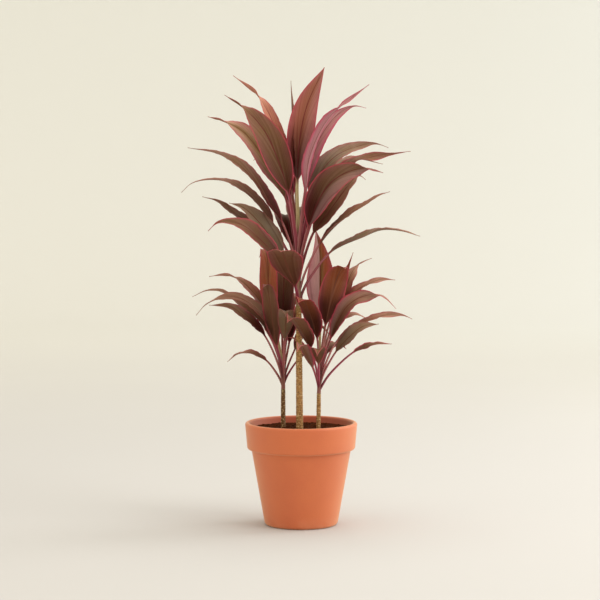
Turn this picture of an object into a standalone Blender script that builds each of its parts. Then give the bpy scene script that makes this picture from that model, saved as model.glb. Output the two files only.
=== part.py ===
"""A ti plant in a terracotta pot: three ringed canes stand in soil, each with a crown of arching leaves.

The z axis is the axis of the pot, the floor is at z = 0, and the front of the plant looks along -y.
Sizes are millimetres until a mesh is made.
"""

import math
import random
from collections import namedtuple

import bmesh
import bpy
from mathutils import Matrix, Vector

MM = 0.001
GAP = 0.3  # room between pieces that touch
CUT_ROOM = 2.0  # a cutter reaches this far past what it cuts

# Pot
POT_SIDES = 48
FOOT_RADIUS = 66.0
FOOT_ROUNDING = 8.0
BODY_RADIUS_LOW = 73.5
BODY_RADIUS_HIGH = 99.0
BAND_BOTTOM = 152.0
BAND_RADIUS_LOW = 108.0
BAND_RADIUS_HIGH = 112.0
BAND_ROUNDING = 5.0
BAND_STEP = 2.5  # bevel where the body meets the band
INNER_STEP_HEIGHT = 164.0  # the inside widens into the band from here up
INNER_STEP = 1.5
RIM_TOP = 206.0
LIP_THICKNESS = 9.5
WALL_THICKNESS = 7.0
FLOOR_THICKNESS = 8.0
FLOOR_BEVEL = 6.0
DRAIN_COUNT = 3
DRAIN_RADIUS = 5.0
DRAIN_CIRCLE = 34.0
DRAIN_SIDES = 12

# Soil
SOIL_TOP = 195.0
SOIL_DIP = 2.0  # the soil lies this much lower along the wall
SOIL_HOLLOWS = 2.2
SOIL_BUMPS = 0.9
SOIL_RINGS = 6

# Canes: each stands in a plain hole in the soil
CANE_DEPTH = 55.0
RING_SPACING = 10.0
RING_HEIGHT = 0.55
RING_LEAN = 0.35
FIRST_RING = 2.0
CANE_SIDES = 10

# Bud: how far up it each ring lies and how thick it is there, in shares
BUD_RINGS = ((0.0, 1.0), (0.5, 0.85), (0.85, 0.6), (1.0, 0.25))

# Leaves
KNEE_OUT = 0.3  # a stalk rises this steeply before it leans out
KNEE_UP = 0.42
PETIOLE_STEPS = 4
BLADE_STEPS = 9
RISE = 0.85  # how the blade widens from its start and narrows to its tip
FALL = 1.45
WIDEST = RISE / (RISE + FALL)  # share of the blade's length at which it is widest
EDGE_THICKNESS = 0.7
TIP_THICKNESS = 0.9
PETIOLE_THICKNESS = 2.6
PETIOLE_THINNING = 0.8  # how much thinner it is where the blade starts
PETIOLE_FLARE = 1.15  # share of its width at its foot
PETIOLE_TAPER = 0.8  # share of its width where the blade starts
TIP_WIDTH = 1.3
CHANNEL_DEGREES = 17.0
PETIOLE_CHANNEL_DEGREES = 28.0
BLADE_OPENS = 0.25  # share of the blade along which the stalk's channel opens out
WAVE_HEIGHT = 1.6
WAVES = 2.5
WAVE_FULL_WIDTH = 30.0  # a narrower blade is waved less
WAVE_SIDE_SHIFT = 2.2  # the two edges are waved out of step
WAVE_LEAF_SHIFT = 1.7  # and so are two leaves
TANGENT_REACH = 1.5
CURVE_STEPS = 24

Cane = namedtuple("Cane", "foot head foot_radius head_radius bud_height petiole_width")
Leaf = namedtuple("Leaf", "base points width face twist fall fold", defaults=(FALL, CHANNEL_DEGREES))

# foot and head are points of the cane's axis, at the soil and where its lowest leaf grows
MAIN_CANE = Cane((-3, -36, SOIL_TOP), (-5, -34, 442), 7.0, 5.5, 105, 8.5)
LEFT_CANE = Cane((-36, 7, SOIL_TOP), (-36, 6, 272), 4.7, 4.2, 42, 6.0)
RIGHT_CANE = Cane((34, -38, SOIL_TOP), (35, -36, 268), 4.4, 4.0, 42, 6.0)

# A leaf grows from its base, a height on the cane, through the start of its blade to its tip.
# Its upper face looks along face where the blade is widest, and it twists from start to tip.
MAIN_LEAVES = [
    # upright leaves round the bud
    Leaf(530, [(-8, -24, 686), (-3, -8, 768), (12, 2, 838), (46, 6, 912)], 56, (0, -1, 0.1), -10, 1.1),
    Leaf(520, [(-25, -42, 664), (-43, -50, 722), (-71, -52, 784), (-108, -48, 826), (-150, -40, 856)],
         58, (0.1, -1, 0.1), 15),
    Leaf(525, [(-20, -12, 672), (-38, 8, 748), (-60, 24, 812), (-91, 34, 862), (-136, 44, 897)],
         34, (0.6, -0.7, 0.2), -50),
    Leaf(525, [(8, -44, 664), (13, -50, 724), (30, -54, 772), (54, -56, 812), (98, -52, 850),
               (133, -46, 876)],
         28, (-0.6, 0.7, 0.5), 30),
    Leaf(533, [(10, -22, 676), (24, -10, 744), (48, 0, 790), (74, 8, 820), (104, 12, 836), (129, 14, 831)],
         34, (-0.2, -1, 0.2), 20),
    Leaf(537, [(-12, -14, 680), (-17, 10, 800), (-20, 22, 886)], 40, (1, -0.2, 0), 10),
    # left side
    Leaf(500, [(-31, -18, 652), (-57, -4, 700), (-86, 8, 750), (-117, 14, 786), (-156, 18, 806),
               (-186, 22, 815)],
         50, (0.5, -0.9, 0.4), -20, 1.3),
    Leaf(490, [(-38, -46, 606), (-60, -58, 640), (-88, -70, 684), (-122, -80, 720), (-160, -88, 741),
               (-220, -94, 753)],
         46, (0.4, -0.45, 0.8), 10, 1.7),
    Leaf(485, [(-56, -22, 598), (-84, -8, 640), (-112, 4, 666), (-144, 14, 685), (-184, 24, 690),
               (-220, 30, 682),
               (-240, 34, 664)],
         44, (0.2, -0.2, 1), -15, 2.3),
    Leaf(475, [(-40, -24, 552), (-72, -14, 584), (-112, 0, 610), (-140, 12, 627), (-165, 20, 646),
               (-198, 30, 656)],
         34, (0.2, -0.5, 0.8), 10),
    Leaf(474, [(-37, -44, 540), (-62, -48, 580), (-88, -52, 613), (-114, -56, 636), (-141, -60, 645)],
         50, (0.35, -0.75, 0.7), 0),
    Leaf(462, [(-42, -56, 528), (-62, -72, 555), (-86, -88, 580), (-110, -100, 601), (-138, -108, 610),
               (-162, -113, 608), (-180, -117, 592)],
         48, (0.3, -0.75, 0.7), -20, 1.9),
    # right side
    Leaf(510, [(20, -22, 650), (40, -10, 706), (72, 6, 739), (110, 18, 755), (146, 26, 762), (174, 28, 753)],
         46, (-0.3, -0.75, 0.6), 10, 1.8),
    Leaf(490, [(15, -50, 598), (34, -66, 650), (58, -82, 685), (91, -98, 706), (126, -108, 713),
               (158, -116, 704)],
         60, (-0.3, -1, 0.35), 10),
    Leaf(500, [(27, -22, 620), (66, 0, 690), (106, 20, 726), (138, 32, 734), (170, 42, 740), (220, 52, 746)],
         34, (-0.1, -0.25, 1), 15),
    Leaf(505, [(16, -8, 632), (56, 30, 696), (104, 62, 730), (166, 92, 721)], 46, (-0.3, -0.3, 1), 10),
    Leaf(480, [(24, -42, 584), (44, -48, 614), (69, -54, 648), (94, -58, 682), (112, -58, 699),
               (126, -58, 690)],
         44, (-0.4, -0.8, 0.5), 10),
    Leaf(464, [(35, -50, 562), (64, -64, 598), (94, -76, 623), (124, -86, 642), (150, -94, 660),
               (172, -98, 668)],
         36, (-0.25, -0.35, 1), 20),
    Leaf(449, [(56, -40, 546), (78, -36, 560), (118, -28, 576), (158, -20, 591), (198, -14, 589),
               (236, -10, 578)],
         36, (-0.1, -0.12, 1), -10),
    # front and back
    Leaf(444, [(-12, -66, 482), (-25, -94, 518), (-32, -124, 541), (-35, -168, 554), (-37, -216, 559),
               (-38, -252, 558)], 68, (0.1, 0.5, 1), 0, FALL, 4),
    Leaf(485, [(-18, -10, 556), (-27, 30, 602), (-32, 80, 618), (-38, 140, 606), (-42, 190, 574)],
         52, (0.1, -0.5, 1), 10),
    Leaf(505, [(-4, -12, 574), (-6, 22, 616), (-6, 66, 632), (-4, 130, 628), (0, 196, 596)],
         52, (0, -0.5, 1), -10),
    Leaf(495, [(8, -12, 588), (26, 24, 640), (44, 66, 662), (66, 120, 662), (88, 176, 640)],
         52, (-0.1, -0.5, 1), 10),
    Leaf(497, [(-22, 0, 640), (-40, 40, 698), (-60, 84, 732), (-82, 130, 742), (-98, 168, 728)],
         50, (0.2, -0.5, 1), 10),
]

LEFT_LEAVES = [
    Leaf(302, [(-54, 6, 404), (-65, 14, 470), (-67, 28, 528), (-74, 66, 548), (-86, 116, 530)],
         38, (0.1, -1, 0.1), 0),
    Leaf(296, [(-48, -8, 356), (-58, -26, 418), (-64, -48, 466), (-68, -84, 486), (-74, -130, 484)],
         34, (0.1, 1, 0.5), 0, FALL, 8),
    Leaf(306, [(-38, 14, 376), (-36, 26, 450), (-34, 46, 504), (-33, 84, 520), (-32, 134, 506)],
         44, (0, -1, 0.3), 0),
    Leaf(290, [(-33, -16, 372), (-31, -34, 400), (-30, -58, 426), (-30, -98, 436), (-30, -140, 428)],
         34, (0, 0.7, 1), 0),
    Leaf(300, [(-61, 14, 396), (-81, 24, 444), (-104, 34, 472), (-127, 42, 490), (-154, 50, 498),
               (-186, 58, 494)],
         28, (0.2, -0.5, 0.8), 15, 1.6),
    Leaf(294, [(-61, 6, 374), (-82, 8, 408), (-108, 10, 431), (-136, 12, 452), (-160, 14, 467),
               (-190, 18, 468),
               (-218, 20, 456)], 28, (0.1, -0.35, 1), 0, 1.7),
    Leaf(292, [(-57, -8, 374), (-66, -16, 398), (-80, -24, 426), (-106, -34, 449), (-134, -42, 460),
               (-164, -48, 456), (-188, -52, 445), (-207, -54, 424)],
         32, (0.3, -0.6, 0.8), -15, 1.9),
    Leaf(284, [(-71, -16, 378), (-92, -34, 404), (-114, -52, 424), (-140, -66, 442), (-180, -80, 446)],
         30, (0.25, -0.7, 0.7), 0),
    Leaf(275, [(-69, 24, 326), (-86, 32, 335), (-104, 40, 341), (-128, 50, 338), (-150, 60, 321)],
         24, (0.05, -0.2, 1), 10),
    Leaf(288, [(-24, 20, 362), (-18, 32, 404), (-8, 56, 424), (6, 92, 424), (20, 126, 404)],
         32, (-0.1, -0.4, 1), 0),
    Leaf(280, [(-13, 20, 348), (2, 38, 378), (20, 64, 392), (42, 94, 388), (60, 116, 370)],
         30, (-0.3, -0.4, 1), 0),
    Leaf(276, [(-10, 18, 324), (4, 34, 338), (20, 60, 344), (34, 92, 334), (44, 116, 312)],
         26, (-0.2, -0.4, 1), 0),
    Leaf(298, [(-27, 16, 388), (-26, 22, 424), (-18, 32, 450), (-6, 50, 456), (4, 76, 446)],
         36, (-0.5, -0.8, 0.4), 20),
    Leaf(286, [(-50, 34, 352), (-64, 66, 392), (-80, 100, 404), (-100, 136, 392)], 32, (0.2, -0.5, 1), 0),
]

RIGHT_LEAVES = [
    Leaf(298, [(38, -18, 416), (38, -6, 480), (37, 3, 545), (28, 10, 594)], 58, (0, -1, 0.1), 10),
    Leaf(288, [(31, -62, 378), (21, -78, 420), (9, -98, 450), (1, -136, 462), (-5, -180, 458)],
         46, (0.5, 0.7, 0.7), 0, FALL, 8),
    Leaf(280, [(18, -76, 360), (5, -96, 392), (-9, -116, 416), (-19, -148, 427), (-27, -184, 420)],
         44, (0.5, 0.6, 0.8), 0),
    Leaf(296, [(48, -58, 406), (58, -70, 456), (70, -82, 500), (79, -112, 521), (85, -156, 521)],
         52, (-0.1, 1, 0.3), 0, FALL, 10),
    Leaf(298, [(58, -44, 416), (78, -46, 470), (92, -46, 514), (102, -44, 548)], 30, (-0.8, -0.4, 0.2), 0),
    Leaf(294, [(60, -30, 398), (82, -24, 456), (98, -18, 502), (114, -14, 523), (140, -10, 534)],
         36, (-0.6, -0.7, 0.3), 30),
    Leaf(292, [(66, -38, 412), (98, -40, 462), (128, -38, 483), (160, -34, 494), (186, -30, 492)],
         28, (-0.2, -0.35, 1), 10),
    Leaf(288, [(58, -56, 378), (72, -68, 414), (92, -80, 446), (121, -92, 464), (157, -100, 466),
               (184, -104, 440)],
         36, (-0.3, -0.8, 0.6), -35),
    Leaf(290, [(54, -32, 376), (86, -26, 416), (108, -22, 423), (133, -16, 414)], 26, (-0.1, -0.3, 1), 0),
    Leaf(282, [(70, -46, 372), (88, -50, 388), (122, -54, 410), (158, -58, 423), (196, -60, 426),
               (218, -60, 417)],
         25, (-0.1, -0.35, 1), 0),
    Leaf(278, [(68, -62, 352), (80, -72, 368), (98, -86, 388), (120, -102, 406), (150, -118, 412)],
         36, (-0.3, -0.75, 0.7), 10),
    Leaf(272, [(103, -26, 348), (122, -18, 355), (148, -10, 363), (181, 0, 363)],
         24, (-0.05, -0.25, 1), 0),
    Leaf(276, [(34, -70, 328), (34, -88, 350), (33, -116, 362), (32, -156, 366), (30, -190, 356)],
         34, (0, 0.5, 1), 0),
    Leaf(274, [(23, -54, 318), (11, -70, 346), (3, -92, 366), (-3, -126, 372), (-8, -158, 362)],
         28, (0.4, 0.5, 1), 0),
    Leaf(273, [(16, -28, 334), (0, -14, 360), (-14, -10, 374), (-28, -8, 377)], 20, (0.3, -0.3, 1), 0),
    Leaf(292, [(48, -10, 398), (58, 22, 448), (66, 58, 470), (80, 106, 472), (94, 146, 454)],
         36, (-0.1, -0.5, 1), 0),
    Leaf(284, [(50, -10, 342), (61, 18, 357), (74, 50, 359), (92, 86, 345)], 30, (-0.2, -0.5, 1), 0),
]


def fresh_scene():
    for item in list(bpy.data.objects):
        bpy.data.objects.remove(item, do_unlink=True)


def material(name, rgb, roughness, specular=0.5):
    made = bpy.data.materials.new(name)
    made.use_nodes = True
    shader = made.node_tree.nodes["Principled BSDF"]
    shader.inputs["Base Color"].default_value = (*rgb, 1.0)
    shader.inputs["Roughness"].default_value = roughness
    shader.inputs["Metallic"].default_value = 0.0
    shader.inputs["Specular IOR Level"].default_value = specular
    return made


def add_object(name, bm, mat, smooth_angle=None):
    """A mesh object made from a bmesh in millimetres."""
    bmesh.ops.scale(bm, vec=(MM, MM, MM), verts=bm.verts)
    mesh = bpy.data.meshes.new(name)
    bm.to_mesh(mesh)
    bm.free()
    if smooth_angle is not None:
        mesh.shade_smooth()
        mesh.set_sharp_from_angle(angle=math.radians(smooth_angle))
    mesh.materials.append(mat)
    made = bpy.data.objects.new(name, mesh)
    bpy.context.scene.collection.objects.link(made)
    return made


def apply_modifiers(item):
    graph = bpy.context.evaluated_depsgraph_get()
    mesh = bpy.data.meshes.new_from_object(item.evaluated_get(graph))
    item.modifiers.clear()
    old = item.data
    item.data = mesh
    mesh.name = item.name
    bpy.data.meshes.remove(old)


def revolved(profile, sides):
    """A closed bmesh turned round the z axis; the profile's ends lie on the axis."""
    bm = bmesh.new()
    rings = []
    for radius, height in profile:
        if radius < 1e-6:
            rings.append([bm.verts.new((0, 0, height))])
            continue
        ring = []
        for k in range(sides):
            angle = math.tau * k / sides
            ring.append(bm.verts.new((radius * math.cos(angle), radius * math.sin(angle), height)))
        rings.append(ring)
    for low, high in zip(rings, rings[1:]):
        for k in range(sides):
            after = (k + 1) % sides
            if len(low) == 1:
                bm.faces.new((low[0], high[after], high[k]))
            elif len(high) == 1:
                bm.faces.new((low[k], low[after], high[0]))
            else:
                bm.faces.new((low[k], low[after], high[after], high[k]))
    bmesh.ops.recalc_face_normals(bm, faces=bm.faces)
    return bm


def arc(centre, radius, start, end, steps):
    """Points of an arc, its angles in degrees."""
    points = []
    for k in range(steps + 1):
        angle = math.radians(start + (end - start) * k / steps)
        points.append((centre[0] + radius * math.cos(angle), centre[1] + radius * math.sin(angle)))
    return points


def inner_radius(height):
    """The inside of the pot's body at a height."""
    share = (height - FOOT_ROUNDING) / (BAND_BOTTOM - FOOT_ROUNDING)
    return BODY_RADIUS_LOW + (BODY_RADIUS_HIGH - BODY_RADIUS_LOW) * share - WALL_THICKNESS


def rim_inner_radius(height):
    """The inside of the pot above its inner step at a height."""
    low = inner_radius(INNER_STEP_HEIGHT) + INNER_STEP
    high = BAND_RADIUS_HIGH - LIP_THICKNESS
    share = (height - INNER_STEP_HEIGHT) / (RIM_TOP - LIP_THICKNESS / 2 - INNER_STEP_HEIGHT)
    return low + (high - low) * share


def inside_profile():
    """The pot's inner side from its step down to the middle of its floor."""
    bevel_top = FLOOR_THICKNESS + FLOOR_BEVEL
    return [
        (rim_inner_radius(INNER_STEP_HEIGHT), INNER_STEP_HEIGHT),
        (inner_radius(bevel_top), bevel_top),
        (inner_radius(FLOOR_THICKNESS) - FLOOR_BEVEL, FLOOR_THICKNESS),
        (0.0, FLOOR_THICKNESS),
    ]


def pot_profile():
    lip = LIP_THICKNESS / 2
    outside = [(0.0, 0.0)]
    outside += arc((FOOT_RADIUS, FOOT_ROUNDING), FOOT_ROUNDING, -90, -10, 3)
    outside += [(BODY_RADIUS_HIGH, BAND_BOTTOM - BAND_STEP), (BODY_RADIUS_HIGH + BAND_STEP, BAND_BOTTOM)]
    outside += arc((BAND_RADIUS_LOW - BAND_ROUNDING, BAND_BOTTOM + BAND_ROUNDING), BAND_ROUNDING, -70, 0, 3)
    outside += arc((BAND_RADIUS_HIGH - lip, RIM_TOP - lip), lip, 0, 180, 6)
    return outside + inside_profile()


def subtract(item, cutters):
    """Cuts closed bmeshes in millimetres out of an object."""
    bits = bpy.data.collections.new(item.name + "_cutters")
    bpy.context.scene.collection.children.link(bits)
    made = []
    for k, bm in enumerate(cutters):
        cutter = add_object(f"{item.name}_cutter_{k}", bm, item.data.materials[0])
        bpy.context.scene.collection.objects.unlink(cutter)
        bits.objects.link(cutter)
        made.append(cutter)
    cut = item.modifiers.new("cut", "BOOLEAN")
    cut.operation = "DIFFERENCE"
    cut.operand_type = "COLLECTION"
    cut.collection = bits
    cut.solver = "EXACT"
    apply_modifiers(item)
    for cutter in made:
        bpy.data.objects.remove(cutter, do_unlink=True)
    bpy.data.collections.remove(bits)


def cylinder(centre, radius, bottom, top, sides, top_centre=None):
    """A closed bmesh of a straight or leaning cylinder."""
    bm = bmesh.new()
    ends = []
    for (x, y), height in ((centre, bottom), (top_centre or centre, top)):
        ring = []
        for k in range(sides):
            angle = math.tau * k / sides
            ring.append(bm.verts.new((x + radius * math.cos(angle), y + radius * math.sin(angle), height)))
        ends.append(ring)
    for k in range(sides):
        after = (k + 1) % sides
        bm.faces.new((ends[0][k], ends[0][after], ends[1][after], ends[1][k]))
    bm.faces.new(list(reversed(ends[0])))
    bm.faces.new(ends[1])
    return bm


def build_pot(clay):
    pot = add_object("pot", revolved(pot_profile(), POT_SIDES), clay)
    holes = []
    for k in range(DRAIN_COUNT):
        angle = math.tau * k / DRAIN_COUNT + math.pi / 2
        centre = (DRAIN_CIRCLE * math.cos(angle), DRAIN_CIRCLE * math.sin(angle))
        holes.append(cylinder(centre, DRAIN_RADIUS, -CUT_ROOM, FLOOR_THICKNESS + CUT_ROOM, DRAIN_SIDES))
    subtract(pot, holes)
    pot.data.shade_smooth()
    pot.data.set_sharp_from_angle(angle=math.radians(35))
    return pot


def axis_point(cane, height):
    """The point of a cane's axis at a height, in line beyond its ends too."""
    foot, head = Vector(cane.foot), Vector(cane.head)
    return foot + (head - foot) * ((height - foot.z) / (head.z - foot.z))


def build_soil(earth):
    """Earth that fills the pot, a little uneven on top, with a plain hole for each cane."""
    rng = random.Random(7)
    profile = []
    for radius, height in reversed(inside_profile()):
        bottom = height == FLOOR_THICKNESS
        profile.append((max(0.0, radius - GAP), height + (GAP if bottom else 0.0)))
    edge = SOIL_TOP - SOIL_DIP
    wall = rim_inner_radius(edge) - GAP
    for k in range(SOIL_RINGS):
        share = k / SOIL_RINGS
        profile.append((wall * (1 - share), SOIL_TOP - SOIL_DIP * (1 - share) ** 4))
    profile.append((0.0, SOIL_TOP))
    bm = revolved(profile, POT_SIDES)
    for vert in bm.verts:
        reach = math.hypot(vert.co.x, vert.co.y)
        if vert.co.z > edge - GAP and reach < wall - GAP:
            vert.co.z += rng.uniform(-SOIL_HOLLOWS, SOIL_BUMPS)
    soil = add_object("soil", bm, earth)
    holes = []
    for cane in (MAIN_CANE, LEFT_CANE, RIGHT_CANE):
        low = axis_point(cane, SOIL_TOP - CANE_DEPTH - GAP)
        high = axis_point(cane, SOIL_TOP + SOIL_BUMPS + CUT_ROOM)
        radius = (cane.foot_radius + RING_HEIGHT + GAP) / math.cos(math.pi / CANE_SIDES)
        holes.append(cylinder((low.x, low.y), radius, low.z, high.z, CANE_SIDES, (high.x, high.y)))
    subtract(soil, holes)
    soil.data.shade_smooth()
    soil.data.set_sharp_from_angle(angle=math.radians(40))
    return soil


def build_cane(name, cane, bark, seed):
    """A ringed cane: a leaf scar stands out at each ring, and the rings lie a little askew."""
    rng = random.Random(seed)
    low, high = cane.foot[2] - CANE_DEPTH, cane.head[2] - GAP
    count = round((high - cane.foot[2]) / RING_SPACING)
    heights = [(low, 0.0)]
    for k in range(count):
        ring = cane.foot[2] + FIRST_RING + k * (high - cane.foot[2] - 2 * FIRST_RING) / (count - 1)
        heights.append((ring - RING_SPACING * 0.25, 0.0))
        heights.append((ring, RING_HEIGHT))
    heights.append((high, 0.0))
    bm = bmesh.new()
    rings = []
    for height, stand in heights:
        centre = axis_point(cane, height)
        share = max(0.0, (height - cane.foot[2]) / (high - cane.foot[2]))
        radius = cane.foot_radius + (cane.head_radius - cane.foot_radius) * share + stand
        lean, turn = rng.uniform(0.0, RING_LEAN), rng.uniform(0, math.tau)
        ring = []
        for k in range(CANE_SIDES):
            angle = math.tau * k / CANE_SIDES
            askew = lean * math.cos(angle - turn) if low < height < high else 0.0
            ring.append(bm.verts.new((
                centre.x + radius * math.cos(angle), centre.y + radius * math.sin(angle), height + askew)))
        rings.append(ring)
    for lower, upper in zip(rings, rings[1:]):
        for k in range(CANE_SIDES):
            after = (k + 1) % CANE_SIDES
            bm.faces.new((lower[k], lower[after], upper[after], upper[k]))
    bm.faces.new(list(reversed(rings[0])))
    bm.faces.new(rings[-1])
    return add_object(name, bm, bark, 50)


def curve_through(points):
    """A smooth curve through points: its point at a length, its whole length and the length at each point."""
    points = [Vector(p) for p in points]
    times = [0.0]
    for a, b in zip(points, points[1:]):
        times.append(times[-1] + math.sqrt((b - a).length))
    slopes = []
    for k, point in enumerate(points):
        if k == 0:
            slopes.append((points[1] - point) / (times[1] - times[0]))
        elif k == len(points) - 1:
            slopes.append((point - points[k - 1]) / (times[k] - times[k - 1]))
        else:
            before = (point - points[k - 1]) / (times[k] - times[k - 1])
            after = (points[k + 1] - point) / (times[k + 1] - times[k])
            ahead, behind = times[k + 1] - times[k], times[k] - times[k - 1]
            slopes.append((before * ahead + after * behind) / (ahead + behind))
    fine, reached = [], []
    for k in range(len(points) - 1):
        width = times[k + 1] - times[k]
        reached.append(len(fine))
        for step in range(CURVE_STEPS):
            t = step / CURVE_STEPS
            fine.append(
                points[k] * (2 * t**3 - 3 * t**2 + 1)
                + slopes[k] * (width * (t**3 - 2 * t**2 + t))
                + points[k + 1] * (-2 * t**3 + 3 * t**2)
                + slopes[k + 1] * (width * (t**3 - t**2))
            )
    fine.append(points[-1])
    lengths = [0.0]
    for a, b in zip(fine, fine[1:]):
        lengths.append(lengths[-1] + (b - a).length)

    def at(length):
        length = min(max(length, 0.0), lengths[-1])
        k = 0
        while k < len(lengths) - 2 and lengths[k + 1] < length:
            k += 1
        share = (length - lengths[k]) / (lengths[k + 1] - lengths[k])
        return fine[k].lerp(fine[k + 1], share)

    return at, lengths[-1], [lengths[k] for k in reached]


def leaf_route(cane, leaf):
    """The midrib as a curve, its whole length and the length at which the blade starts."""
    base = axis_point(cane, leaf.base)
    start = Vector(leaf.points[0])
    reach = start - base
    knee = base + Vector((reach.x * KNEE_OUT, reach.y * KNEE_OUT, reach.z * KNEE_UP))
    at, length, reached = curve_through([base, knee] + [Vector(p) for p in leaf.points])
    return at, length, reached[2]


def blade_share(s, fall):
    """The blade's width at a share of its length, 1 at its widest: full low down, drawn out to the tip."""
    widest = RISE / (RISE + fall)
    return (s / widest) ** RISE * ((1 - s) / (1 - widest)) ** fall


def leaf_stations(cane, leaf):
    """Centre, side, normal, half width, channel angle and thickness at each station of a leaf."""
    at, length, start = leaf_route(cane, leaf)
    marks = []
    for k in range(PETIOLE_STEPS):
        marks.append((start * k / PETIOLE_STEPS, None))
    for k in range(BLADE_STEPS + 1):
        marks.append((start + (length - start) * k / BLADE_STEPS, k / BLADE_STEPS))
    centres = [at(mark) for mark, _ in marks]
    tangents = []
    for mark, _ in marks:
        tangents.append((at(mark + TANGENT_REACH) - at(mark - TANGENT_REACH)).normalized())
    widest = PETIOLE_STEPS + round(BLADE_STEPS * WIDEST)
    sides = [None] * len(marks)
    sides[widest] = tangents[widest].cross(Vector(leaf.face)).normalized()
    for k in range(widest + 1, len(marks)):
        sides[k] = (sides[k - 1] - tangents[k] * sides[k - 1].dot(tangents[k])).normalized()
    for k in range(widest - 1, -1, -1):
        sides[k] = (sides[k + 1] - tangents[k] * sides[k + 1].dot(tangents[k])).normalized()
    stations = []
    for k, (_, s) in enumerate(marks):
        side = sides[k]
        if s is None:
            grown = k / PETIOLE_STEPS
            half = cane.petiole_width * (PETIOLE_FLARE - (PETIOLE_FLARE - PETIOLE_TAPER) * grown) / 2
            channel = PETIOLE_CHANNEL_DEGREES
            thick = PETIOLE_THICKNESS - PETIOLE_THINNING * grown
        else:
            turn = math.radians(leaf.twist * (s - WIDEST))
            side = Matrix.Rotation(turn, 3, tangents[k]) @ side
            least = cane.petiole_width * PETIOLE_TAPER * (1 - s) ** 2 + TIP_WIDTH * s
            half = max(leaf.width * blade_share(s, leaf.fall), least) / 2
            opened = min(1, s / BLADE_OPENS)
            channel = PETIOLE_CHANNEL_DEGREES + (leaf.fold - PETIOLE_CHANNEL_DEGREES) * opened
            thick = (PETIOLE_THICKNESS - PETIOLE_THINNING) * (1 - s) + TIP_THICKNESS * s
        normal = side.cross(tangents[k]).normalized()
        stations.append((centres[k], side, normal, half, math.radians(channel), thick, s))
    return stations


def leaf_bmesh(cane, leaf, phase):
    """A closed blade on its channelled stalk: three points across each face, thick at the midrib."""
    bm = bmesh.new()
    rings = []
    for centre, side, normal, half, channel, thick, s in leaf_stations(cane, leaf):
        across = side * (half * math.cos(channel))
        rise = half * math.sin(channel)
        waves = [0.0, 0.0]
        if s is not None:
            swell = WAVE_HEIGHT * min(1.0, 2 * half / WAVE_FULL_WIDTH) * math.sin(math.pi * s)
            waves[0] = swell * math.sin(math.tau * WAVES * s + phase)
            waves[1] = swell * math.sin(math.tau * WAVES * s + phase + WAVE_SIDE_SHIFT)
        left = centre + across + normal * (rise + waves[0])
        right = centre - across + normal * (rise + waves[1])
        under = normal * EDGE_THICKNESS
        ring = [left, centre, right, right - under, centre - normal * thick, left - under]
        rings.append([bm.verts.new(point) for point in ring])
    strips = ((0, 1), (1, 2), (3, 4), (4, 5), (2, 3), (5, 0))
    for low, high in zip(rings, rings[1:]):
        for a, b in strips:
            if (a, b) in ((3, 4), (4, 5)):
                a, b = b, a
                bm.faces.new((low[a], high[b], low[b]))
                bm.faces.new((low[a], high[a], high[b]))
                continue
            bm.faces.new((low[a], low[b], high[b]))
            bm.faces.new((low[a], high[b], high[a]))
    bm.faces.new((rings[0][0], rings[0][5], rings[0][4], rings[0][1]))
    bm.faces.new((rings[0][1], rings[0][4], rings[0][3], rings[0][2]))
    bm.faces.new((rings[-1][0], rings[-1][1], rings[-1][4], rings[-1][5]))
    bm.faces.new((rings[-1][1], rings[-1][2], rings[-1][3], rings[-1][4]))
    bmesh.ops.recalc_face_normals(bm, faces=bm.faces)
    return bm


def bud_bmesh(cane):
    """The soft top of the cane inside the crown, which the leaf stalks grow from."""
    bm = bmesh.new()
    rings = []
    for share, girth in BUD_RINGS:
        centre = axis_point(cane, cane.head[2] + cane.bud_height * share)
        ring = []
        for k in range(CANE_SIDES):
            angle = math.tau * k / CANE_SIDES
            radius = cane.head_radius * girth
            ring.append(bm.verts.new((
                centre.x + radius * math.cos(angle), centre.y + radius * math.sin(angle), centre.z)))
        rings.append(ring)
    for lower, upper in zip(rings, rings[1:]):
        for k in range(CANE_SIDES):
            after = (k + 1) % CANE_SIDES
            bm.faces.new((lower[k], lower[after], upper[after], upper[k]))
    bm.faces.new(list(reversed(rings[0])))
    bm.faces.new(rings[-1])
    return bm


def keep_outer_shell(item):
    """Fills the pockets that fused stalks close off: only the largest shell of a mesh stays."""
    bm = bmesh.new()
    bm.from_mesh(item.data)
    shells, seen = [], set()
    for first in bm.faces:
        if first in seen:
            continue
        shell, waiting = [], [first]
        seen.add(first)
        while waiting:
            face = waiting.pop()
            shell.append(face)
            for edge in face.edges:
                for other in edge.link_faces:
                    if other not in seen:
                        seen.add(other)
                        waiting.append(other)
        shells.append(shell)
    shells.sort(key=len)
    for shell in shells[:-1]:
        bmesh.ops.delete(bm, geom=shell, context="FACES")
    bm.to_mesh(item.data)
    bm.free()


def build_crown(name, cane, leaves, foliage):
    """A crown's leaves and its bud, fused into one body."""
    crown = add_object(name, bud_bmesh(cane), foliage)
    grown = bpy.data.collections.new(name + "_leaves")
    bpy.context.scene.collection.children.link(grown)
    made = []
    for k, leaf in enumerate(leaves):
        item = add_object(f"{name}_leaf_{k}", leaf_bmesh(cane, leaf, k * WAVE_LEAF_SHIFT), foliage)
        bpy.context.scene.collection.objects.unlink(item)
        grown.objects.link(item)
        made.append(item)
    union = crown.modifiers.new("union", "BOOLEAN")
    union.operation = "UNION"
    union.operand_type = "COLLECTION"
    union.collection = grown
    union.solver = "EXACT"
    apply_modifiers(crown)
    for item in made:
        bpy.data.objects.remove(item, do_unlink=True)
    bpy.data.collections.remove(grown)
    keep_outer_shell(crown)
    crown.data.shade_smooth()
    crown.data.set_sharp_from_angle(angle=math.radians(40))
    return crown


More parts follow.
